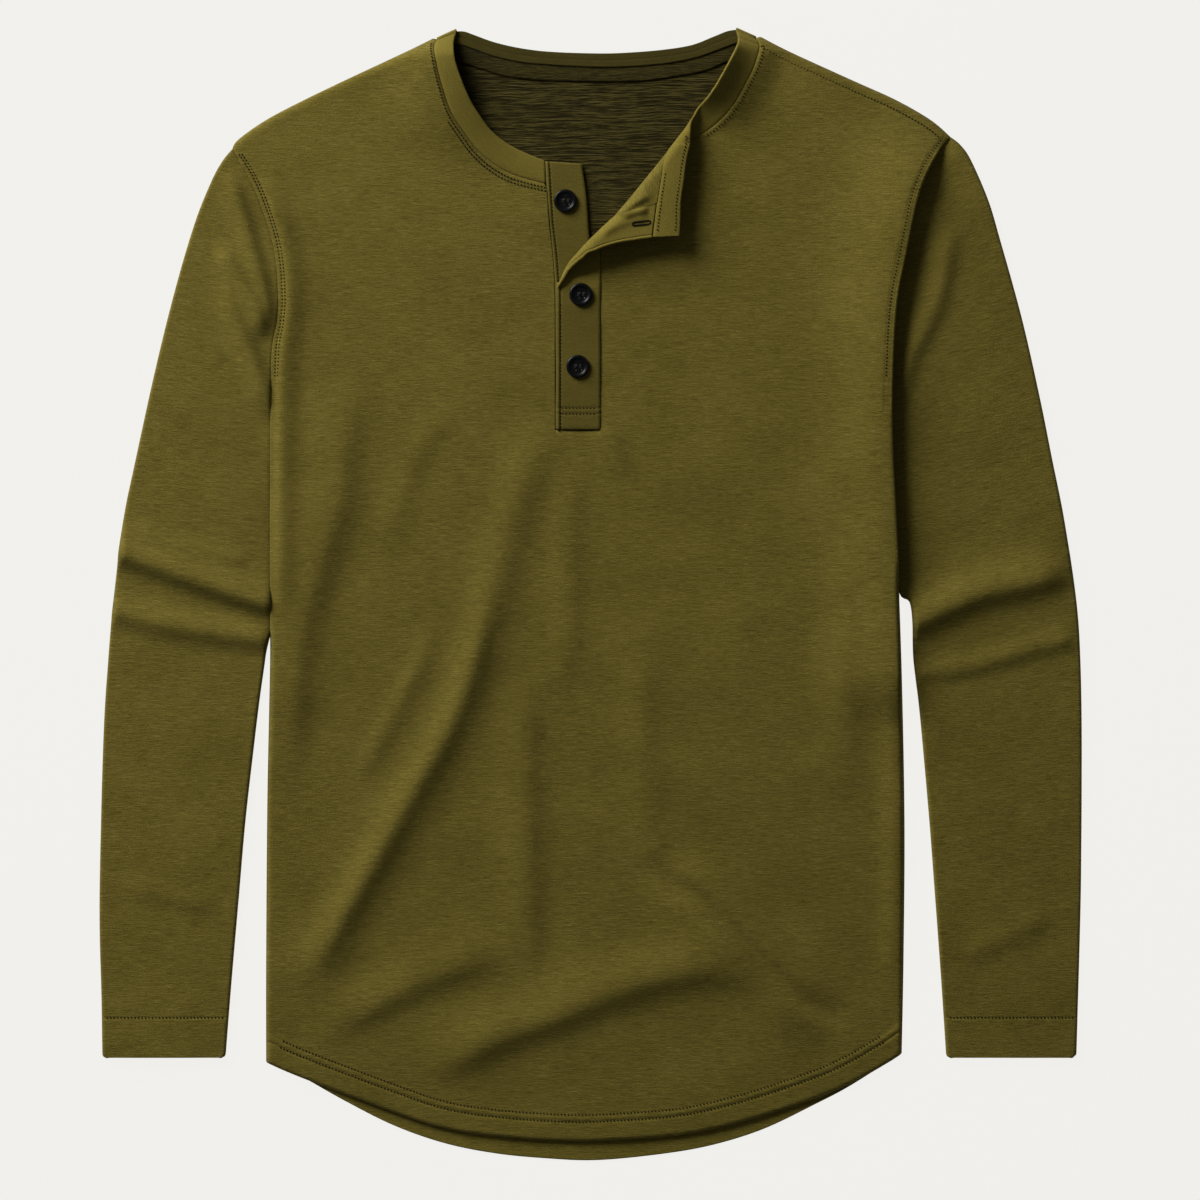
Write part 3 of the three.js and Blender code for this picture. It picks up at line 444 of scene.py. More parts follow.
def grid_faces(grid):
    """Corner points and cloth places of each cell of a grid."""
    def corners(a):
        cells = np.stack([a[:-1, :-1], a[:-1, 1:], a[1:, 1:], a[1:, :-1]], axis=2)
        return cells.reshape(-1, 4, a.shape[-1])
    return corners(grid[0]), corners(grid[1])


def add_mesh(name, vertices, faces, materials, smooth=True):
    mesh = bpy.data.meshes.new(name)
    mesh.from_pydata((np.asarray(vertices) * MM).tolist(), [], faces)
    mesh.polygons.foreach_set("use_smooth", np.full(len(mesh.polygons), smooth))
    mesh.update()
    for material in materials:
        mesh.materials.append(material)
    piece = bpy.data.objects.new(name, mesh)
    bpy.context.scene.collection.objects.link(piece)
    return piece


def cloth_mesh(name, grids, thickness, materials):
    """Thin shell around one or more grids. Each grid is its points, its places on the cut cloth and, where
    the cloth isn't all of one kind, its kind. Materials are in pairs: a kind's upper and lower face."""
    parts = [grid_faces(grid) for grid in grids]
    corners, cloth_place = (np.concatenate(arrays) for arrays in zip(*parts))
    kinds = [np.broadcast_to(grid[2] if len(grid) > 2 else 0, len(p)) for grid, (p, _) in zip(grids, parts)]
    keys, index = np.unique(np.round(corners.reshape(-1, 3), 3), axis=0, return_inverse=True)
    piece = add_mesh(name, keys, index.reshape(-1, 4).tolist(), materials)
    layer = piece.data.uv_layers.new(name="Cloth")
    layer.data.foreach_set("uv", (cloth_place.reshape(-1, 2) * MM).ravel())
    piece.data.polygons.foreach_set("material_index", (2 * np.concatenate(kinds)).astype(np.int32))
    shell = piece.modifiers.new("shell", "SOLIDIFY")
    shell.thickness = thickness * MM
    shell.offset = 0
    shell.material_offset = 1
    return piece


# Materials

def srgb(red, green, blue):
    def linear(c):
        c /= 255
        return c / 12.92 if c <= 0.04045 else ((c + 0.055) / 1.055) ** 2.4
    return (linear(red), linear(green), linear(blue), 1.0)


class Graph:
    """Small helper that adds nodes to a material and links them."""

    def __init__(self, name):
        self.material = bpy.data.materials.new(name)
        self.material.use_nodes = True
        self.tree = self.material.node_tree
        self.tree.nodes.clear()
        self.out = self.tree.nodes.new("ShaderNodeOutputMaterial")
        self.shader = self.tree.nodes.new("ShaderNodeBsdfPrincipled")
        self.link(self.shader.outputs[0], self.out.inputs["Surface"])

    def link(self, source, target):
        self.tree.links.new(source, target)

    def add(self, kind, settings=None, **inputs):
        node = self.tree.nodes.new(kind)
        for key, value in (settings or {}).items():
            setattr(node, key, value)
        for key, value in inputs.items():
            socket = node.inputs[int(key[1:])] if key[0] == "i" and key[1:].isdigit() else node.inputs[key]
            if hasattr(value, "is_output"):
                self.link(value, socket)
            else:
                socket.default_value = value
        return node

    def maths(self, operation, a, b=0.0):
        return self.add("ShaderNodeMath", {"operation": operation}, i0=a, i1=b).outputs[0]

    def noise(self, place, scale, stretch=(1, 1, 1), detail=2.0, roughness=0.5):
        mapping = self.add("ShaderNodeMapping", i0=place)
        mapping.inputs["Scale"].default_value = stretch
        node = self.add("ShaderNodeTexNoise", {"noise_dimensions": "3D"}, Vector=mapping.outputs[0])
        node.inputs["Scale"].default_value = scale
        node.inputs["Detail"].default_value = detail
        node.inputs["Roughness"].default_value = roughness
        return node.outputs[0]

    def ramp(self, factor, stops):
        node = self.add("ShaderNodeValToRGB", i0=factor)
        ramp = node.color_ramp
        while len(ramp.elements) < len(stops):
            ramp.elements.new(0.5)
        for element, (place, colour) in zip(ramp.elements, stops):
            element.position = place
            element.color = colour
        return node.outputs[0]

    def bump(self, height, strength, distance):
        node = self.add("ShaderNodeBump", Height=height)
        node.inputs["Strength"].default_value = strength
        node.inputs["Distance"].default_value = distance
        self.link(node.outputs[0], self.shader.inputs["Normal"])


def tone(colour, factor):
    return tuple(c * factor for c in colour[:3]) + (1.0,)


def scaled(g, colour, factor):
    node = g.add("ShaderNodeVectorMath", {"operation": "SCALE"}, i0=colour)
    g.link(factor, node.inputs["Scale"])
    return node.outputs[0]


def jersey(name, tones, streaks=1.0, streak_size=1.0, shade=None):
    """Heathered jersey: short slubs and fine streaks along the courses, over tiny knit loops."""
    g = Graph(name)
    flat = g.add("ShaderNodeUVMap", {"uv_map": "Cloth"}).outputs[0]
    drift = g.maths("MULTIPLY", g.maths("SUBTRACT", g.noise(flat, 1, (30, 45, 1), 1), 0.5), 0.003)
    shift = g.add("ShaderNodeCombineXYZ", Y=drift).outputs[0]
    place = g.add("ShaderNodeVectorMath", {"operation": "ADD"}, i0=flat, i1=shift).outputs[0]
    s = 1 / streak_size
    parts = [
        (g.noise(place, 1, (110 * s, 2100 * s, 1), 2, 0.55), 0.86 * streaks),
        (g.noise(place, 1, (240 * s, 3000 * s, 1), 2, 0.6), 0.9 * streaks),
        (g.noise(place, 1, (45 * s, 620 * s, 1), 1, 0.5), 0.3 * streaks),
        (g.noise(place, 1, (1500, 1900, 1), 1, 0.6), 0.85),
        (g.noise(flat, 1, (16, 24, 1), 2, 0.5), 0.26),
    ]
    total = 0.5
    for part, weight in parts:
        total = g.maths("ADD", g.maths("MULTIPLY", g.maths("SUBTRACT", part, 0.5), weight), total)
    colour = g.ramp(total, [(0.12, tones[0]), (0.5, tones[1]), (0.88, tones[2])])
    if shade:
        colour = shade(g, colour, flat)
    g.link(colour, g.shader.inputs["Base Color"])
    g.shader.inputs["Roughness"].default_value = 0.95
    g.shader.inputs["Specular IOR Level"].default_value = 0.08
    g.shader.inputs["Sheen Weight"].default_value = 0.03
    g.shader.inputs["Sheen Roughness"].default_value = 0.5
    g.bump(total, 0.55, 0.0005 * streak_size)
    return g.material


OLIVE_TONES = [srgb(65, 57, 14), srgb(95, 84, 31), srgb(121, 108, 50)]


def step_between(g, value, low, high, first, last):
    """Smooth step of a number from one value to another."""
    node = g.add("ShaderNodeMapRange", {"interpolation_type": "SMOOTHSTEP"}, Value=value)
    for key, number in (("From Min", low), ("From Max", high), ("To Min", first), ("To Max", last)):
        node.inputs[key].default_value = number
    return node.outputs[0]


def shaded(axis, low, high, first, last):
    """Painted shade that changes between two places on the cloth, along its width (X) or its length (Y); a
    factor above 1 paints light.
    """
    def shade(g, colour, flat):
        place = g.add("ShaderNodeSeparateXYZ", i0=flat).outputs[axis]
        return scaled(g, colour, step_between(g, place, low, high, first, last))
    return shade


cloth = jersey("jersey", OLIVE_TONES)
cloth_plain = jersey("jersey_band", [tone(c, 1.12) for c in OLIVE_TONES], 0.35)
# Painted light: the back's lower part, seen as a strip below the front's hem, is a lighter copy of the jersey,
# set against the shade the front's hem casts there.
back_hem_painted_light = jersey("jersey_back_hem_painted_light", [tone(c, 1.16) for c in OLIVE_TONES])

# Painted shade: the back's inside, seen in the neck, is a darkened copy of the jersey, and a painted shadow of
# the band's raised right part darkens it most beside that part.
painted_band_shadow = shaded("X", -0.09, -0.056, 0.4, 1.0)
back_inside_painted_shade = jersey("jersey_back_inside_painted_shade", [tone(c, 0.29) for c in OLIVE_TONES], 3.3, 2.9, painted_band_shadow)
# Painted shade: the back neckband's inside is a darkened copy of the jersey, for the shade inside the neck.
back_band_painted_shade = jersey("back_band_jersey_painted_shade", [tone(c, 0.36) for c in OLIVE_TONES], 0.5)

# Painted light and shade on the top strip: darker below the folded corner, where the corner's shadow falls, and
# lighter on the folded corner itself, which stands up in the light.
corner_painted_light_and_shade = shaded("Y", 0.196, 0.206, 0.72, 1.18)
top_strip_painted_light_and_shade = jersey("jersey_top_strip_painted_light_and_shade", OLIVE_TONES, 0.4, 1.0, corner_painted_light_and_shade)
# Painted shade: the under strip is a darker copy of the jersey, for the folded corner's shadow over it.
under_strip_painted_shade = jersey("jersey_under_strip_painted_shade", [tone(c, 0.76) for c in OLIVE_TONES], 0.4)


def plain_material(name, colour, roughness, specular=0.3, grain=0.0, scale=900):
    g = Graph(name)
    place = g.add("ShaderNodeTexCoord").outputs["Object"]
    noise = g.noise(place, scale, (1, 1, 1), 2, 0.5)
    dark = tuple(c * (1 - grain) for c in colour[:3]) + (1,)
    light = tuple(min(c * (1 + grain), 1) for c in colour[:3]) + (1,)
    g.link(g.ramp(noise, [(0.3, dark), (0.7, light)]), g.shader.inputs["Base Color"])
    g.shader.inputs["Roughness"].default_value = roughness
    g.shader.inputs["Specular IOR Level"].default_value = specular
    return g


# Painted shade: the tape is a darkened copy of the jersey for the shade inside the neck, darker still under the
# painted shadow beside the band.
tape_painted_shade = jersey("tape", [tone(c, 0.27) for c in OLIVE_TONES], 2.0, 1.4, painted_band_shadow)
# Painted shade: the stitch thread is near black, standing in for the shade in the needle holes along each row;
# the thread itself is the cloth's colour.
thread = plain_material("thread", srgb(26, 22, 7), 0.85, 0.1, 0.4, 700).material
dark_thread = plain_material("dark_thread", srgb(24, 15, 8), 0.85, 0.1, 0.3, 700).material
button_thread = plain_material("button_thread", srgb(38, 36, 31), 0.7, 0.2, 0.3, 700).material
horn_graph = plain_material("horn", srgb(7, 7, 7), 0.34, 0.16, 0.5, 260)
horn_graph.shader.inputs["Coat Weight"].default_value = 0.05
horn_graph.shader.inputs["Coat Roughness"].default_value = 0.2
horn = horn_graph.material


# Front panel

def body_side(line, above):
    """The part of a side line above or below the placket's bottom, from its lower end."""
    meeting = np.array([[float(read_at(line, 1, PLACKET_BOTTOM)), PLACKET_BOTTOM]])
    if above:
        return np.vstack([meeting, line[line[:, 1] > PLACKET_BOTTOM + 1][::-1]])
    return np.vstack([line[line[:, 1] < PLACKET_BOTTOM - 1][::-1], meeting])


def band_line(rows, share):
    """Line along the neckband, from its neck edge at 0 to its seam at 1 and on to the panel beyond 1."""
    line = fine(rows, 12)
    return line[:, :2] * (1 - share) + line[:, 2:] * share


def neck_seam(rows, gap):
    return band_line(rows, 1 + gap / BAND_WIDTH)


def level(x, y, z):
    return np.stack([x, y, z], axis=-1)


def outward_of(points, centre=(0, 0)):
    """Directions in plan at right angles to a line of points, away from the middle of the shirt."""
    tangent = np.gradient(points[:, :2], axis=0)
    tangent /= np.hypot(*tangent.T)[:, None]
    across = np.column_stack([tangent[:, 1], -tangent[:, 0]])
    away = np.sign(((points[:, :2] - centre) * across).sum(1))
    return across * away[:, None]


SIDE_LIP = [(0, 0), (0.1, 0.3), (0.25, 0.45), (0.45, 0.35), (0.7, -0.1), (1, -0.9)]
HEM_LIP = [(0, 0), (0.25, 0.25), (0.5, 0.3), (0.8, 0.0), (1, -0.8), (1.05, -2.5)]


def lip(points, cloth_place, shape, low):
    """Strip that rounds a panel's edge over and down. Rows of its shape: share of the drop, offset."""
    outward = outward_of(points)
    rows, places, along = [], [], 0.0
    for index, (share, offset) in enumerate(shape):
        z = points[:, 2] + share * (low - points[:, 2])
        rows.append(np.column_stack([points[:, :2] + outward * offset, z]))
        if index:
            along = along + np.linalg.norm(rows[-1] - rows[-2], axis=1)[:, None]
        places.append(cloth_place + outward * along)
    return np.stack(rows, axis=1), np.stack(places, axis=1)


def lip_height(y, side):
    return EDGE_HEIGHT - 0.1 + (LIP_HEIGHT - EDGE_HEIGHT + 0.1) * contact(y, side)


FRONT_CELLS = (84, 12, 84)
HEM_ROWS_OF_CELLS = 29
HEM_CELL = 0.7
FRONT_ROWS = 122
BACK_ROWS = 60
ARM_ROWS = (80, 120)


def front_panel():
    notch = UNDER_STRIP_RIGHT_EDGE[0][0] - SEAM, STRIP_RIGHT + SEAM
    right, left = body_side(side_right, False), body_side(side_left, False)
    corners = [right[-1], (notch[0], PLACKET_BOTTOM - SEAM), (notch[1], PLACKET_BOTTOM - SEAM), left[-1]]
    shares = [clustered(FRONT_CELLS[0], 0.1, 0.2, 8), np.linspace(0, 1, FRONT_CELLS[1] + 1),
              clustered(FRONT_CELLS[2], 0.2, 0.1, 8)]
    rows = [np.outer(1 - s, a) + np.outer(s, b) for s, a, b in zip(shares, corners[:-1], corners[1:])]
    top = np.vstack([rows[0], rows[1][1:-1], rows[2]])
    columns = (top[:, 0] - top[0, 0]) / (top[-1, 0] - top[0, 0])
    hem_share = HEM_ROWS_OF_CELLS * HEM_CELL / length_of(right)
    hem_part, rest = np.linspace(0, hem_share, HEM_ROWS_OF_CELLS), np.linspace(hem_share, 1, FRONT_ROWS)
    v = np.concatenate([hem_part, rest[1:]])
    lower = coons(at_shares(front_hem, columns), top, at_shares(right, v), at_shares(left, v), columns, v)

    notch_edge = fine(UNDER_STRIP_RIGHT_EDGE) - (SEAM, 0)
    neck = neck_seam(BAND_FRONT_RIGHT, SEAM)
    notch_edge = notch_edge[(notch_edge[:, 1] > PLACKET_BOTTOM + 1) & (notch_edge[:, 1] < neck[0, 1] - 0.5)]
    inner = np.vstack([rows[0][-1:], notch_edge, neck])
    v = clustered(ARM_ROWS[0], 1.0, 0.5)
    shoulder = np.vstack([neck[-1:], shoulder_right[shoulder_right[:, 0] < neck[-1, 0] - 3]])
    right_arm = coons(rows[0], at_shares(shoulder[::-1], shares[0]), at_shares(body_side(side_right, True), v),
                      at_shares(inner, v), shares[0], v)

    neck = neck_seam(BAND_FRONT_LEFT[::-1], SEAM)
    neck = neck[neck[:, 0] > notch[1] + 0.2]
    inner = np.vstack([rows[2][:1], [(notch[1], neck[0, 1] - 0.2)], neck])
    v = clustered(ARM_ROWS[1], 1.0, 0.6)
    shoulder = np.vstack([neck[-1:], shoulder_left[shoulder_left[:, 0] > neck[-1, 0] + 3]])
    left_arm = coons(rows[2], at_shares(shoulder, shares[2]), at_shares(inner, v),
                     at_shares(body_side(side_left, True), v), shares[2], v)

    grids = [(place(xy[..., 0], xy[..., 1], front_height(xy[..., 0], xy[..., 1])), xy)
             for xy, place in ((lower, level), (right_arm, level), (left_arm, corner_folded))]
    lips = []
    for index, column, side in ((0, 0, -1), (0, -1, 1), (1, 0, -1), (2, -1, 1)):
        points, place = grids[index][0][:, column], grids[index][1][:, column]
        lips.append(lip(points, place, SIDE_LIP, lip_height(points[:, 1], side)))
    points, place = grids[0][0][0], grids[0][1][0]
    lips.append(lip(points, place, HEM_LIP, EDGE_HEIGHT - 0.05 + 0 * points[:, 2]))
    for index in (0, 2):
        lips[index] = tuple(part[::-1] for part in lips[index])
    return cloth_mesh("front", grids + lips, JERSEY, [cloth, cloth])


# Back panel: flat, seen inside the neck, below the front's hem and from beneath.

BACK_MIDDLE = 0.55
BACK_WALL = 1.0


def back_side(line, side, above):
    """Side of the back panel, drawn in where the sleeve is tucked between it and the front."""
    points = body_side(line, above)
    points[:, 0] -= side * (TUCK + 1.0) * contact(points[:, 1], side)
    return points


def back_panel():
    columns = clustered(90, 0.4, 0.4)
    right, left = back_side(side_right, -1, False), back_side(side_left, 1, False)
    hem_share = HEM_ROWS_OF_CELLS * HEM_CELL / length_of(right)
    hem_part, rest = np.linspace(0, hem_share, HEM_ROWS_OF_CELLS), np.linspace(hem_share, 1, BACK_ROWS)
    v = np.concatenate([hem_part, rest[1:]])
    top = np.outer(1 - columns, right[-1]) + np.outer(columns, left[-1])
    lower = coons(at_shares(back_hem, columns), top, at_shares(right, v), at_shares(left, v), columns, v)
    seam = band_line(BAND_BACK, 0.75)
    upper_line = np.vstack([shoulder_right[::-1][:-1], seam[8:-8], shoulder_left[1:]])
    v = np.linspace(0, 1, BACK_ROWS)
    columns = np.linspace(0, 1, len(columns) * 3)
    top = np.outer(1 - columns, right[-1]) + np.outer(columns, left[-1])
    upper = coons(top, at_shares(upper_line, columns), at_shares(back_side(side_right, -1, True), v),
                  at_shares(back_side(side_left, 1, True), v), columns, v)

    def flat(xy):
        hem = np.maximum(from_line(xy[..., 0], xy[..., 1], back_hem), 0)
        z = BACK_MIDDLE + 0.5 * grooves(hem, HEM_ROWS, 0.4, 0.8) + 0 * xy[..., 0]
        return level(xy[..., 0], xy[..., 1], np.maximum(z, BACK_MIDDLE - 0.03)), xy

    materials = [back_hem_painted_light, cloth, back_inside_painted_shade, cloth]
    return cloth_mesh("back", [flat(lower), (*flat(upper), 1)], BACK_WALL, materials)


# Sleeves: flattened tubes with rounded edges.

SLEEVE_TILT = [
    (-300, 0.0), (-150, 0.02), (-70, 0.05), (-10, 0.1), (40, 0.16), (100, 0.2), (200, 0.27), (310, 0.35),
]
SLEEVE_AXIS = 265.0


def sleeve_cloth(side, xy):
    """Places on the cut cloth. The courses run across the arm, so they tilt towards the shoulder."""
    tilt = np.interp(xy[..., 1], *np.array(SLEEVE_TILT).T) * (1.0 if side > 0 else 0.6)
    return np.stack([xy[..., 0] + 500, xy[..., 1] - side * tilt * (xy[..., 0] - side * SLEEVE_AXIS)], axis=-1)


def cuff_corner(y):
    """How far the rounded corner of a cuff is drawn in."""
    return CUFF_CORNER * (1 - rounded((y - CUFF_Y) / CUFF_CORNER))


def sleeve(name, outer_rows, inner_rows, body, side):
    rows = np.unique(np.concatenate([clustered(230, 0.35, 0.15, 10), np.linspace(0.936, 0.962, 34)]))
    outer = fine(outer_rows) - (side * JERSEY / 2, 0)
    inner = fine(inner_rows) + (side * JERSEY / 2, 0)
    outer[:, 0] -= side * cuff_corner(outer[:, 1])
    inner[:, 0] += side * cuff_corner(inner[:, 1])
    armhole = body[body[:, 1] >= inner_rows[0][1]]
    outer_points, inner_points = at_shares(outer, rows), at_shares(inner, rows)
    index = np.arange(len(rows))[:, None]

    def plan(u, tuck=TUCK):
        """Places for shares across the sleeve, one row of shares for each row of the sleeve."""
        a, b = outer_points[index], inner_points[index]
        point = a * (1 - u[..., None]) + b * u[..., None]
        start = outer_points[0] * (1 - u[..., None]) + inner_points[0] * u[..., None]
        steps = np.linspace(0, 1, 200)
        bulge = np.stack([np.interp(u, steps, c) for c in at_shares(armhole, steps).T], axis=-1) - start
        point = point + bulge * ((1 - rows[index]) ** 5)[..., None]
        kept = contact(point[..., 1], side)
        limit = read_at(body, 1, point[..., 1]) + side * (SEAM - (SEAM + tuck) * kept)
        share = smooth_step((u - 0.8) / 0.2) * kept
        reach = point[..., 0] * (1 - share) + limit * share
        point[..., 0] = np.where(side * (reach - limit) < 0, limit, reach)
        return point

    floor = JERSEY / 2
    ends = [plan(np.full((len(rows), 1), u)) for u in (0.0, 1.0)]
    width = np.abs(ends[0] - ends[1])[:, 0].max(axis=1)[:, None]
    radii = [(sleeve_height(side, end[..., 0], end[..., 1]) - floor) / 2 for end in ends]
    across = clustered(48, 0.3, 0.25)[None]
    under = np.linspace(0, 1, 22)[None]
    turn = np.linspace(0, 1, 7)[None, 1:-1]
    low = radii[0] / width
    high = 1 - radii[1] / width
    every = np.zeros((len(rows), 1))

    def flat(shares, top):
        point = plan(low + (high - low) * (shares + every))
        z = sleeve_height(side, point[..., 0], point[..., 1]) if top else np.full(point.shape[:2], floor)
        return level(point[..., 0], point[..., 1], z)

    def edge(shares, radius, u_side):
        angle = np.pi * (shares - 0.5)
        inset = radius * (1 - np.cos(angle)) / width
        point = plan((inset if u_side == 0 else 1 - inset) + every)
        return level(point[..., 0], point[..., 1], floor + radius * (1 + np.sin(angle)))

    points = np.concatenate([
        flat(across, True), edge(turn[:, ::-1], radii[1], 1), flat(under[:, ::-1], False),
        edge(turn, radii[0], 0), flat(across[:, :1], True),
    ], axis=1)
    cloth_place = sleeve_cloth(side, points[..., :2])
    if side > 0:
        points, cloth_place = points[::-1], cloth_place[::-1]
    return cloth_mesh(name, [(points, cloth_place)], JERSEY, [cloth, cloth])


# Neckband, tape and placket strips

BACK_BAND_HEIGHT = 1.9
BAND_END_HEIGHT = 2.6

# How far the left band's neck edge stands above its seam, beside the folded corner: y, height
BAND_TILT = [
    (285, 0.0), (312, 0.0), (317.5, 3.2), (323.4, 6.2), (331.3, 8.8), (339.9, 9.8), (351.1, 9.0),
    (359.7, 5.8), (366, 2.0), (372, 0.0),
]
BAND_TILT_POWER = 1.8


def band_stations():
    """Rows across the neckband, from right end to folded left end, and which of them show its inside."""
    across = np.linspace(0, 1, 15)
    crown = 0.3 * np.sin(np.pi * across)

    def stations(rows, count):
        line = at_shares(fine(rows, 20), np.linspace(0, 1, count))
        return line[:, None, :2] * (1 - across[None, :, None]) + line[:, None, 2:] * across[None, :, None]

    right, back = stations(BAND_FRONT_RIGHT, 90), stations(BAND_BACK, 110)
    left = stations(BAND_FRONT_LEFT, 190)

    def raised(grid):
        seam = front_height(grid[:, -1:, 0], grid[:, -1:, 1])
        return np.maximum(seam, BAND_END_HEIGHT) + crown[None] - 0.6 * np.exp(-(1 - across[None]) * BAND_WIDTH)

    def turned(grid_row, first, last):
        shares = np.linspace(0, 1, 9)[1:-1]
        direction = grid_row[0] - grid_row[-1]
        direction = direction / np.hypot(*direction)
        outward = np.array([-direction[1], direction[0]])
        outward = outward if outward[1] > 0 else -outward
        radius = abs(first - last).mean() / 2
        xy = grid_row[None] + outward * (radius * np.sin(np.pi * shares))[:, None, None]
        z = first * (1 + np.cos(np.pi * shares))[:, None] / 2 + last * (1 - np.cos(np.pi * shares))[:, None] / 2
        return np.concatenate([xy, z[..., None]], axis=-1)

    right_z, left_z = raised(right), raised(left)
    tilt = np.interp(left[:, :1, 1], *np.array(BAND_TILT).T) * (np.arange(len(left)) < 130)[:, None]
    left_z = left_z + tilt * (1 - across[None]) ** BAND_TILT_POWER
    back_z = BACK_BAND_HEIGHT - 0.9 * (1 - across[None]) + 0 * back[..., 0]
    back_z = back_z + grooves(across[None] * BAND_WIDTH, (8.0,), 0.2, 0.5)
    parts = [
        level(right[..., 0], right[..., 1], right_z), turned(right[-1], right_z[-1], back_z[0]),
        level(back[..., 0], back[..., 1], back_z), turned(back[-1], back_z[-1], left_z[0]),
        corner_folded(left[..., 0], left[..., 1], left_z),
    ]
    counts = [len(p) for p in parts]
    inside = np.zeros(sum(counts), bool)
    inside[counts[0] + 3:sum(counts[:3]) + 3] = True
    return np.concatenate(parts), inside


def neckband():
    points, inside = band_stations()
    points = points[:, ::-1]
    steps = np.linalg.norm(np.diff(points[:, 6], axis=0), axis=1)
    along = np.concatenate([[0], np.cumsum(steps)])
    across = np.linspace(0, BAND_WIDTH, points.shape[1])
    cloth_place = np.stack(np.broadcast_arrays(along[:, None], across[None]), axis=-1)
    in_cell = np.repeat(inside[:-1], points.shape[1] - 1)
    materials = [cloth_plain, cloth_plain, cloth_plain, back_band_painted_shade]
    return cloth_mesh("neckband_cloth", [(points, cloth_place, in_cell)], BAND, materials)


def neck_tape():
    """Tape inside the back neck. Its ends run on under the front's band."""
    upper = neck_seam(BAND_BACK, SEAM * 2)
    lower = fine([(-90, 352.2), (-82, 349.4)] + TAPE_LOWER_EDGE + [(97, 354)])
    shares = np.linspace(0, 1, 110)
    inside = (upper[:, 0] > lower[0, 0]) & (upper[:, 0] < lower[-1, 0])
    a, b = at_shares(upper[inside], shares), at_shares(lower, shares)
    across = np.linspace(0, 1, 11)[None, :, None]
    xy = b[:, None] * (1 - across) + a[:, None] * across
    z = 1.5 + 0.2 * np.sin(np.pi * across[..., 0]) + 0 * xy[..., 0]
    grid = level(xy[..., 0], xy[..., 1], z)[:, ::-1], xy[:, ::-1]
    return cloth_mesh("neck_tape_cloth", [grid], TAPE, [tape_painted_shade] * 2)


FREE_EDGE_BEAD = 0.6
EDGE_ROW = 2.3
BOX_ROWS = (10.4, 14.2)
STRIP_LIFT = CAD_WALL / 2 + 0.15
under_right, under_left = fine(UNDER_STRIP_RIGHT_EDGE), fine(UNDER_STRIP_LEFT_EDGE)


def strip_grid(start, end, across, rows):
    u = across[None, :, None]
    return at_shares(start, rows)[:, None] * (1 - u) + at_shares(end, rows)[:, None] * u


def bead(distance):
    """Turned edge of a strip: a narrow ridge with a stitched groove beside it."""
    return FREE_EDGE_BEAD * np.exp(-(((distance - 0.9) / 0.7) ** 2)) + grooves(distance, (EDGE_ROW,), 0.4, 0.5)


def under_height(x, y):
    from_right = x - read_at(under_right, 1, y)
    from_left = read_at(under_left, 1, y) - x
    edges = grooves(from_right, (0.0,), 0.6, 0.5) + grooves(from_left, (0.0,), 0.5, 0.7)
    rise = 0.6 * smooth_step((y - 255) / 30) * smooth_step(1 - from_right / 20)
    return UNDER_STRIP_HEIGHT + edges + rise + bead(from_right)


def under_strip():
    """Right placket strip. It meets the neckband's end and the front's slit edge."""
    across, rows = clustered(40, 0.3, 0.3, 6), np.linspace(0, 1, 150)
    start = under_right - (0.1, 0)
    xy = strip_grid(start, under_left, across, rows)
    points = level(xy[..., 0], xy[..., 1], under_height(xy[..., 0], xy[..., 1]))
    return cloth_mesh("under_strip", [(points, xy)], CAD_WALL, [under_strip_painted_shade] * 2)


# Top strip: a bead runs down its free edge.
# On the folded corner it runs along the lower edge of the visible inside.

CORNER_START = 206
CORNER_RUN = 12
CORNER_CREASES = [
    (1.9, 2.6, 2.2, 5, [(17, 247.5), (26, 254), (34, 259), (39, 262.5)]),
    (1.6, 2.4, 2.4, 5, [(20, 247), (29, 250), (39, 252.5)]),
    (0.9, 5, 3, 6, [(6, 235), (16, 241), (28, 245), (38, 246)]),
]


def strip_height(x, y):
    corner = smooth_step((y - CORNER_START) / CORNER_RUN)
    seam = grooves(STRIP_RIGHT - x, (0.0,), 0.6, 0.8) * (1 - corner)
    foot = grooves(y - PLACKET_BOTTOM, (0.0,), 0.5, 0.8)
    box = grooves(np.where(y < 140, y - PLACKET_BOTTOM, np.inf), BOX_ROWS, 0.4, 0.7)
    drop = (TOP_STRIP_HEIGHT - FRONT_HEIGHT) * corner
    return TOP_STRIP_HEIGHT - drop + bead(x - STRIP_LEFT) + (seam + foot) + box + ripple(x, y, STRIP_HILLS)


def corner_folded(x, y, z):
    """The folded corner with its creases, which are placed where they lie once it is folded."""
    points = folded_open(x, y, z)
    turned_back = smooth_step((points[..., 2] - z - 6) / 4)
    creases = folds_at(CORNER_CREASES, points[..., 0], points[..., 1])
    points[..., 2] = points[..., 2] + turned_back * creases
    return points


def top_strip():
    across, rows = clustered(46, 0.25, 0.3, 7), np.linspace(0, 1, 210)
    seam = neck_seam(BAND_FRONT_LEFT, SEAM)
    seam = seam[seam[:, 1] < 300]
    x = STRIP_LEFT + (STRIP_RIGHT - STRIP_LEFT) * across[None] + 0 * rows[:, None]
    top = read_at(seam, 0, x)
    y = PLACKET_BOTTOM + (top - PLACKET_BOTTOM) * rows[:, None]
    points = corner_folded(x, y, strip_height(x, y))
    return cloth_mesh("top_strip", [(points, np.stack([x, y], axis=-1))], CAD_WALL, [top_strip_painted_light_and_shade] * 2)


# Stitches

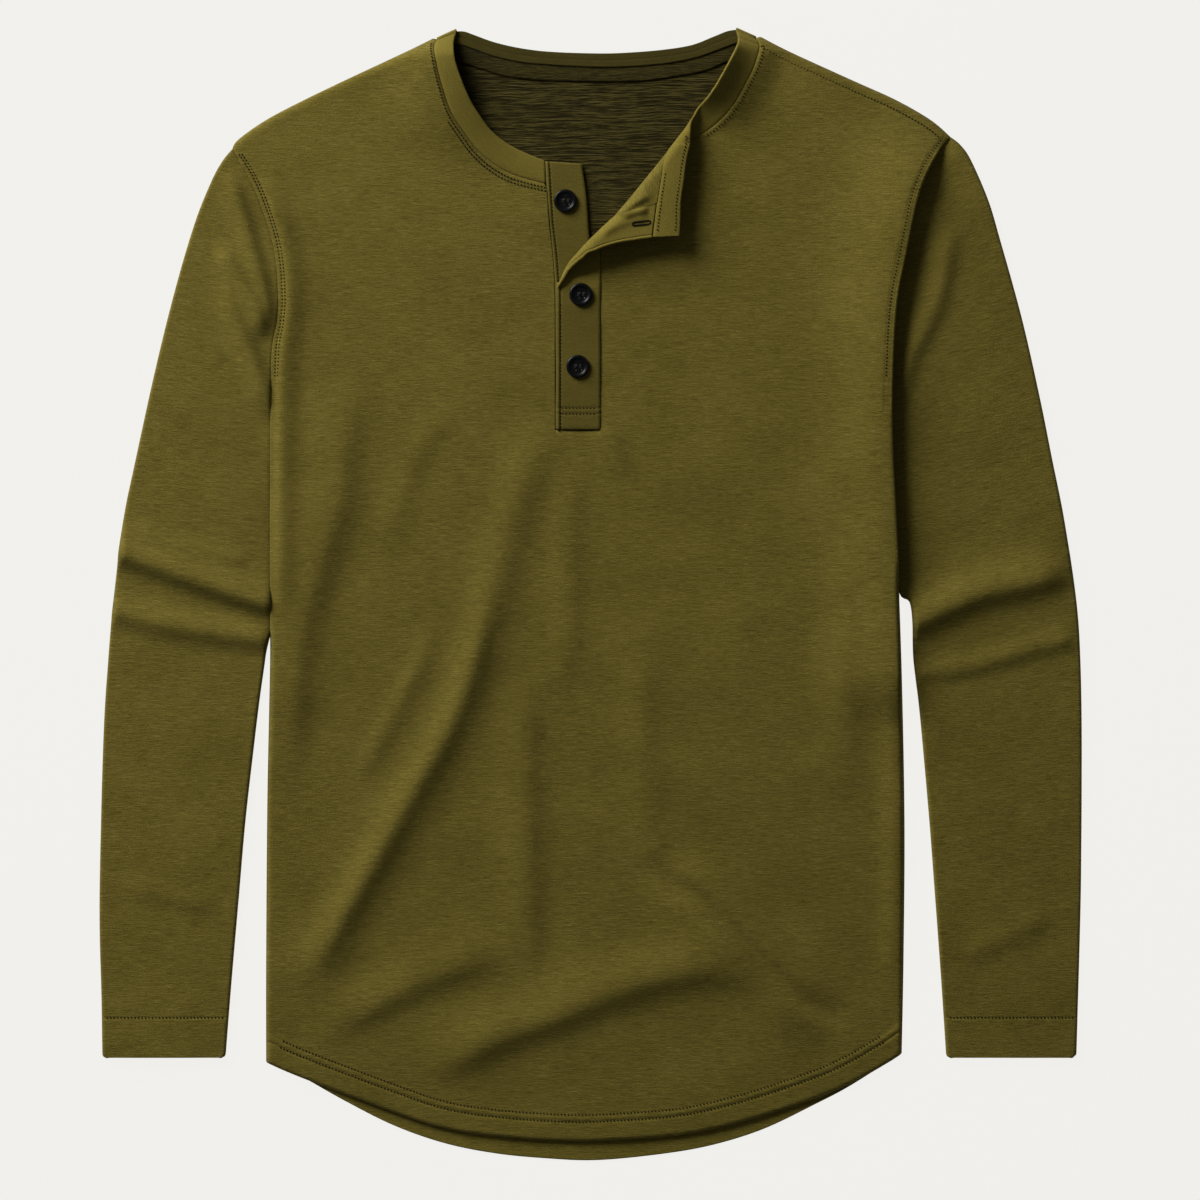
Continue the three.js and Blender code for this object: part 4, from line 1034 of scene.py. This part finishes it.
def capsule(sides=6):
    """Unit stitch along X: a thread segment with rounded, sunken ends."""
    rings = [(-0.5, 0.35, -0.8), (-0.3, 0.9, -0.1), (0.0, 1.0, 0.15), (0.3, 0.9, -0.1), (0.5, 0.35, -0.8)]
    vertices = [
        (x, r * math.cos(2 * math.pi * k / sides), r * math.sin(2 * math.pi * k / sides) + drop)
        for x, r, drop in rings for k in range(sides)
    ]
    faces = [
        (i * sides + k, i * sides + (k + 1) % sides, (i + 1) * sides + (k + 1) % sides, (i + 1) * sides + k)
        for i in range(len(rings) - 1) for k in range(sides)
    ]
    faces += [tuple(range(sides))[::-1], tuple(range((len(rings) - 1) * sides, len(rings) * sides))]
    return np.array(vertices), faces


STITCH, STITCH_FACES = capsule()


def stitches(name, lines, material, pitch=2.3, share=0.45, radius=0.5):
    """One mesh of thread stitches along lines, each with its points in space and surface normals."""
    vertices, faces = [], []
    for points, normals in lines:
        steps = np.linalg.norm(np.diff(points, axis=0), axis=1)
        place = np.concatenate([[0], np.cumsum(steps)])
        count = max(int(place[-1] / pitch), 1)
        for k in range(count):
            ends = (k + 0.5) * pitch + np.array([-0.5, 0.5]) * pitch * share
            a, b = (np.array([np.interp(e, place, c) for c in points.T]) for e in ends)
            n = np.array([np.interp(ends.mean(), place, c) for c in normals.T])
            along = b - a
            size = np.linalg.norm(along)
            if size < 1e-6:
                continue
            along /= size
            sideways = np.cross(n, along)
            sideways /= max(np.linalg.norm(sideways), 1e-9)
            up = np.cross(along, sideways)
            base = len(vertices) * len(STITCH)
            local = STITCH * (size, radius, radius)
            vertices.append((a + b) / 2 + local[:, :1] * along + local[:, 1:2] * sideways + local[:, 2:] * up)
            faces += [tuple(base + i for i in f) for f in STITCH_FACES]
    return add_mesh(name, np.concatenate(vertices), faces, [material])


def surface_line(xy, height, place=level, lift=JERSEY / 2 + STITCH_LIFT):
    """Points just on a cloth surface and its normals, along a line on the unfolded front."""
    step = 0.25
    x, y = xy[:, 0], xy[:, 1]

    def at(px, py):
        return place(px, py, height(px, py))

    normal = np.cross(at(x + step, y) - at(x - step, y), at(x, y + step) - at(x, y - step))
    normal /= np.linalg.norm(normal, axis=1)[:, None]
    return at(x, y) + normal * lift, normal


def beside(line, distance):
    """Line moved sideways by a distance, towards the middle of the shirt when it is positive."""
    return line - outward_of(line, (0, 60)) * distance


def evenly(line, step=1.5):
    return at_shares(line, np.linspace(0, 1, max(int(length_of(line) / step), 2)))


def front_stitches():
    """Rows along the hem, the armholes with the left shoulder, and the neck."""
    hem = [surface_line(evenly(beside(front_hem, row))[2:-2], front_height) for row in HEM_ROWS]
    armholes = []
    for side, line, rows in ((-1, side_right, ARMHOLE_GROOVES[-1]), (1, side_left, ARMHOLE_GROOVES[1][1:])):
        for row in rows:
            upper = evenly(line[line[:, 1] > 140] - (side * row, 0))[2:]
            armholes.append(surface_line(upper, front_height))
    shoulder = evenly(beside(shoulder_left, SHOULDER_ROW))[2:-2]
    armholes.append(surface_line(shoulder, front_height))
    neck = []
    for row, top in zip(NECK_ROWS, (364, 312)):
        line = evenly(neck_seam(BAND_FRONT_RIGHT, row))
        neck.append(surface_line(line[(line[:, 0] < -27) & (line[:, 1] < top)], front_height))
    line = evenly(neck_seam(BAND_FRONT_LEFT, NECK_ROWS[0]))
    neck.append(surface_line(line[line[:, 0] > 74][3:], front_height, corner_folded))
    return hem, armholes, neck


def cuff_stitches(side, outer_rows, inner_rows):
    y = CUFF_Y + CUFF_ROW
    a, b = read_at(fine(outer_rows), 1, y), read_at(fine(inner_rows), 1, y)
    line = straight((a - side * 2.5, y), (b + side * 2.5, y))
    return [surface_line(line, lambda px, py: sleeve_height(side, px, py))]


def straight(a, b):
    return evenly(np.array([a, b], float))


def placket_stitches():
    """Rows on the top strip: two across its foot, one up its free edge and two on the folded band."""
    foot = [straight((STRIP_LEFT + 2, PLACKET_BOTTOM + row), (STRIP_RIGHT - 2, PLACKET_BOTTOM + row))
            for row in BOX_ROWS[::-1]]
    edge = straight((STRIP_LEFT + EDGE_ROW, PLACKET_BOTTOM + 1), (STRIP_LEFT + EDGE_ROW, 281))
    lines = [surface_line(line, strip_height, corner_folded, STRIP_LIFT) for line in (*foot, edge)]
    lines[-1] = tuple(part[:56] for part in lines[-1])

    def flat_band(px, py):
        return np.full(np.shape(px), FRONT_HEIGHT + 0.2)

    for share, end in ((0.2, 52), (0.85, 30)):
        line = band_line(BAND_FRONT_LEFT, share)
        line = evenly(line[(line[:, 0] < end) & (line[:, 0] > -20)])
        lines.append(surface_line(line, flat_band, corner_folded, -BAND / 2))
    return lines


def under_stitches():
    line = evenly(under_right[under_right[:, 1] > PLACKET_BOTTOM + 1] + (EDGE_ROW, 0))[1:-1]
    return [surface_line(line, under_height, level, STRIP_LIFT)]


def on_corner(xy):
    """Points and normals on the visible face of the folded corner, for places as it lies folded."""
    dx, dy = xy[:, 0] - FLAP_APEX[0], xy[:, 1] - FLAP_APEX[1]
    distance, angle = np.hypot(dx, dy), np.arctan2(dy, dx)
    fold, edge, radius = (np.interp(distance, FLAP[:, 0], FLAP[:, column]) for column in (1, 2, 3))
    start = np.radians(fold) - radius / distance
    roll = np.pi * radius
    back_length = np.maximum(np.radians(fold - edge) * distance - radius, 0)
    share = (roll + (start - angle) * distance) / (roll + back_length)
    flat_angle = start + share * (np.pi / 2 - start)
    x, y = FLAP_APEX[0] + distance * np.cos(flat_angle), FLAP_APEX[1] + distance * np.sin(flat_angle)
    return surface_line(np.column_stack([x, y]), strip_height, corner_folded, -CAD_WALL / 2)


BUTTONHOLE = {"centre": (33.5, 242.9), "length": 11.5, "height": 2.0, "turn": 6.0}


def buttonhole():
    """Dense stitches round a slit, laid across the edge of the opening."""
    turn = math.radians(BUTTONHOLE["turn"])
    half, radius = (BUTTONHOLE["length"] - BUTTONHOLE["height"]) / 2, BUTTONHOLE["height"] / 2
    angles = np.linspace(-np.pi / 2, np.pi / 2, 9)
    right = np.column_stack([half + radius * np.cos(angles), radius * np.sin(angles)])
    loop = evenly(np.vstack([right, -right, right[:1]]), 0.42)
    spin = np.array([[math.cos(turn), -math.sin(turn)], [math.sin(turn), math.cos(turn)]])
    nearest_middle = np.column_stack([np.clip(loop[:, 0], -half, half), 0 * loop[:, 0]])
    away = loop - nearest_middle
    away /= np.hypot(*away.T)[:, None]
    lines = []
    for point, out in zip(loop[:-1], away[:-1]):
        ends = np.array([point - out * 0.45, point + out * 0.75]) @ spin.T + BUTTONHOLE["centre"]
        lines.append(on_corner(ends))
    return stitches("buttonhole", lines, dark_thread, 1.2, 1.0, 0.27)


# Buttons

BUTTON_PROFILE = [
    (0, 1.0), (4.0, 1.0), (4.7, 1.05), (5.15, 1.3), (5.5, 1.75), (5.9, 1.95), (6.8, 1.95), (7.3, 1.7),
    (BUTTON_RADIUS, 1.2), (7.5, 0.6), (7.0, 0.2), (6.0, 0.0), (0, 0.0),
]
HOLE_RADIUS = 0.85
HOLE_OFFSET = 1.7
THREAD_OFFSET = 0.32
THREAD_HEIGHT = 1.05


def turned_mesh(line, sides):
    """Vertices and faces of a profile of radii and heights turned round the upright axis, with flat ends."""
    angles = np.linspace(0, 2 * np.pi, sides, endpoint=False)
    rings = [line[:, :1] * np.cos(angles), line[:, :1] * np.sin(angles), line[:, 1:] + 0 * angles]
    count = len(line)
    faces = [
        (i * sides + k, (i + 1) * sides + k, (i + 1) * sides + (k + 1) % sides, i * sides + (k + 1) % sides)
        for i in range(count - 1) for k in range(sides)
    ]
    faces += [tuple(range(sides)), tuple(range((count - 1) * sides, count * sides))[::-1]]
    return np.stack(rings, axis=-1).reshape(-1, 3), faces


def button(name, place):
    """Dished disc with a raised rim, four holes and thread over them."""
    x, y, seat = place
    base = np.array([x, y, seat + CAD_WALL / 2 + 0.3])
    profile = fine(BUTTON_PROFILE, 4)
    vertices, faces = turned_mesh(profile[profile[:, 0] > 1e-3], 72)
    piece = add_mesh(f"{name}_disc", vertices + base, faces, [horn])
    hole, hole_faces = turned_mesh(np.array([(HOLE_RADIUS, 3.0), (HOLE_RADIUS, -1.0)]), 20)
    corners = [(sx * HOLE_OFFSET, sy * HOLE_OFFSET, 0) for sx in (-1, 1) for sy in (-1, 1)]
    vertices = np.concatenate([hole + base + corner for corner in corners])
    faces = [tuple(i + len(hole) * n for i in face) for n in range(len(corners)) for face in hole_faces]
    cutter = add_mesh(f"{name}_cutter", vertices, faces, [horn], False)
    cut = piece.modifiers.new("holes", "BOOLEAN")
    cut.operation = "DIFFERENCE"
    cut.object = cutter
    cut.solver = "EXACT"
    graph = bpy.context.evaluated_depsgraph_get()
    mesh = bpy.data.meshes.new_from_object(piece.evaluated_get(graph))
    piece.modifiers.clear()
    piece.data = mesh
    bpy.data.objects.remove(cutter)
    lines = []
    for column in (-HOLE_OFFSET, HOLE_OFFSET):
        for shift in (-THREAD_OFFSET, THREAD_OFFSET):
            ends = base + [(column + shift, -1.9, THREAD_HEIGHT), (column + shift, 1.9, THREAD_HEIGHT)]
            lines.append((ends, np.array([[0, 0, 1.0]] * 2)))
    sewn = stitches(f"{name}_thread", lines, button_thread, 3.8, 0.98, 0.24)
    sewn.parent = piece
    return piece


# The pieces, each riding on the one body and standing for its solid

def settle(piece, node, children=()):
    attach(piece, "root")
    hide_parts(node)
    for child in children:
        child.parent = piece


front = front_panel()
back = back_panel()
right_sleeve = sleeve("right_sleeve", SLEEVE_RIGHT_OUTER, SLEEVE_RIGHT_INNER, side_right, -1)
left_sleeve = sleeve("left_sleeve", SLEEVE_LEFT_OUTER, SLEEVE_LEFT_INNER, side_left, 1)
band = neckband()
tape = neck_tape()
under = under_strip()
over = top_strip()

hem_lines, armhole_lines, neck_lines = front_stitches()
hem_stitches = stitches("hem_stitches", hem_lines, thread)
armhole_stitches = stitches("armhole_stitches", armhole_lines, thread)
neck_stitches = stitches("neck_stitches", neck_lines, thread)
cuff_lines = cuff_stitches(-1, SLEEVE_RIGHT_OUTER, SLEEVE_RIGHT_INNER)
right_cuff = stitches("right_cuff_stitches", cuff_lines, thread)
cuff_lines = cuff_stitches(1, SLEEVE_LEFT_OUTER, SLEEVE_LEFT_INNER)
left_cuff = stitches("left_cuff_stitches", cuff_lines, thread)
strip_stitches = stitches("strip_stitches", placket_stitches(), thread)
under_rows = stitches("under_stitches", under_stitches(), thread)
hole = buttonhole()

settle(front, "front_panel", [hem_stitches, armhole_stitches, neck_stitches])
settle(back, "back_panel")
settle(right_sleeve, "sleeve_right", [right_cuff])
settle(left_sleeve, "sleeve_left", [left_cuff])
settle(band, "neckband")
settle(tape, "neck_tape")
settle(under, "placket_under_strip", [under_rows])
settle(over, "placket_top_strip", [strip_stitches, hole])
for button_name, button_place in BUTTONS.items():
    settle(button(button_name, button_place), button_name)


# Camera, light and surface

FRAME_WIDTH = 0.792
CAMERA_HEIGHT = 2.2
FRAME_CENTRE = (0.0063, -0.004)


def make_camera():
    data = bpy.data.cameras.new("camera")
    data.sensor_width = 36.0
    data.lens = 36.0 * CAMERA_HEIGHT / FRAME_WIDTH
    data.clip_end = 50
    camera = bpy.data.objects.new("camera", data)
    camera.location = (*FRAME_CENTRE, CAMERA_HEIGHT)
    bpy.context.scene.collection.objects.link(camera)
    bpy.context.scene.camera = camera


def area_light(name, location, size, power, target=(0, 0, 0)):
    data = bpy.data.lights.new(name, "AREA")
    data.size = size
    data.energy = power
    light = bpy.data.objects.new(name, data)
    light.location = location
    light.rotation_euler = (Vector(target) - Vector(location)).to_track_quat("-Z", "Y").to_euler()
    bpy.context.scene.collection.objects.link(light)


def make_surface():
    g = Graph("paper")
    g.shader.inputs["Base Color"].default_value = (0.02, 0.02, 0.02, 1)
    g.shader.inputs["Roughness"].default_value = 1.0
    g.shader.inputs["Specular IOR Level"].default_value = 0.0
    g.shader.inputs["Emission Color"].default_value = srgb(242, 241, 237)
    g.shader.inputs["Emission Strength"].default_value = 0.972
    size = 6000
    square = [(-size, -size, 0), (size, -size, 0), (size, size, 0), (-size, size, 0)]
    floor = add_mesh("surface", square, [(0, 1, 2, 3)], [g.material], False)


make_camera()
area_light("key", (-1.9, 2.12, 1.24), 1.5, 181)
world = bpy.data.worlds.new("studio")
world.use_nodes = True
world.node_tree.nodes["Background"].inputs["Color"].default_value = (0.9, 0.92, 0.95, 1)
world.node_tree.nodes["Background"].inputs["Strength"].default_value = 0.13
bpy.context.scene.world = world
bpy.context.scene.view_settings.view_transform = "Standard"
make_surface()
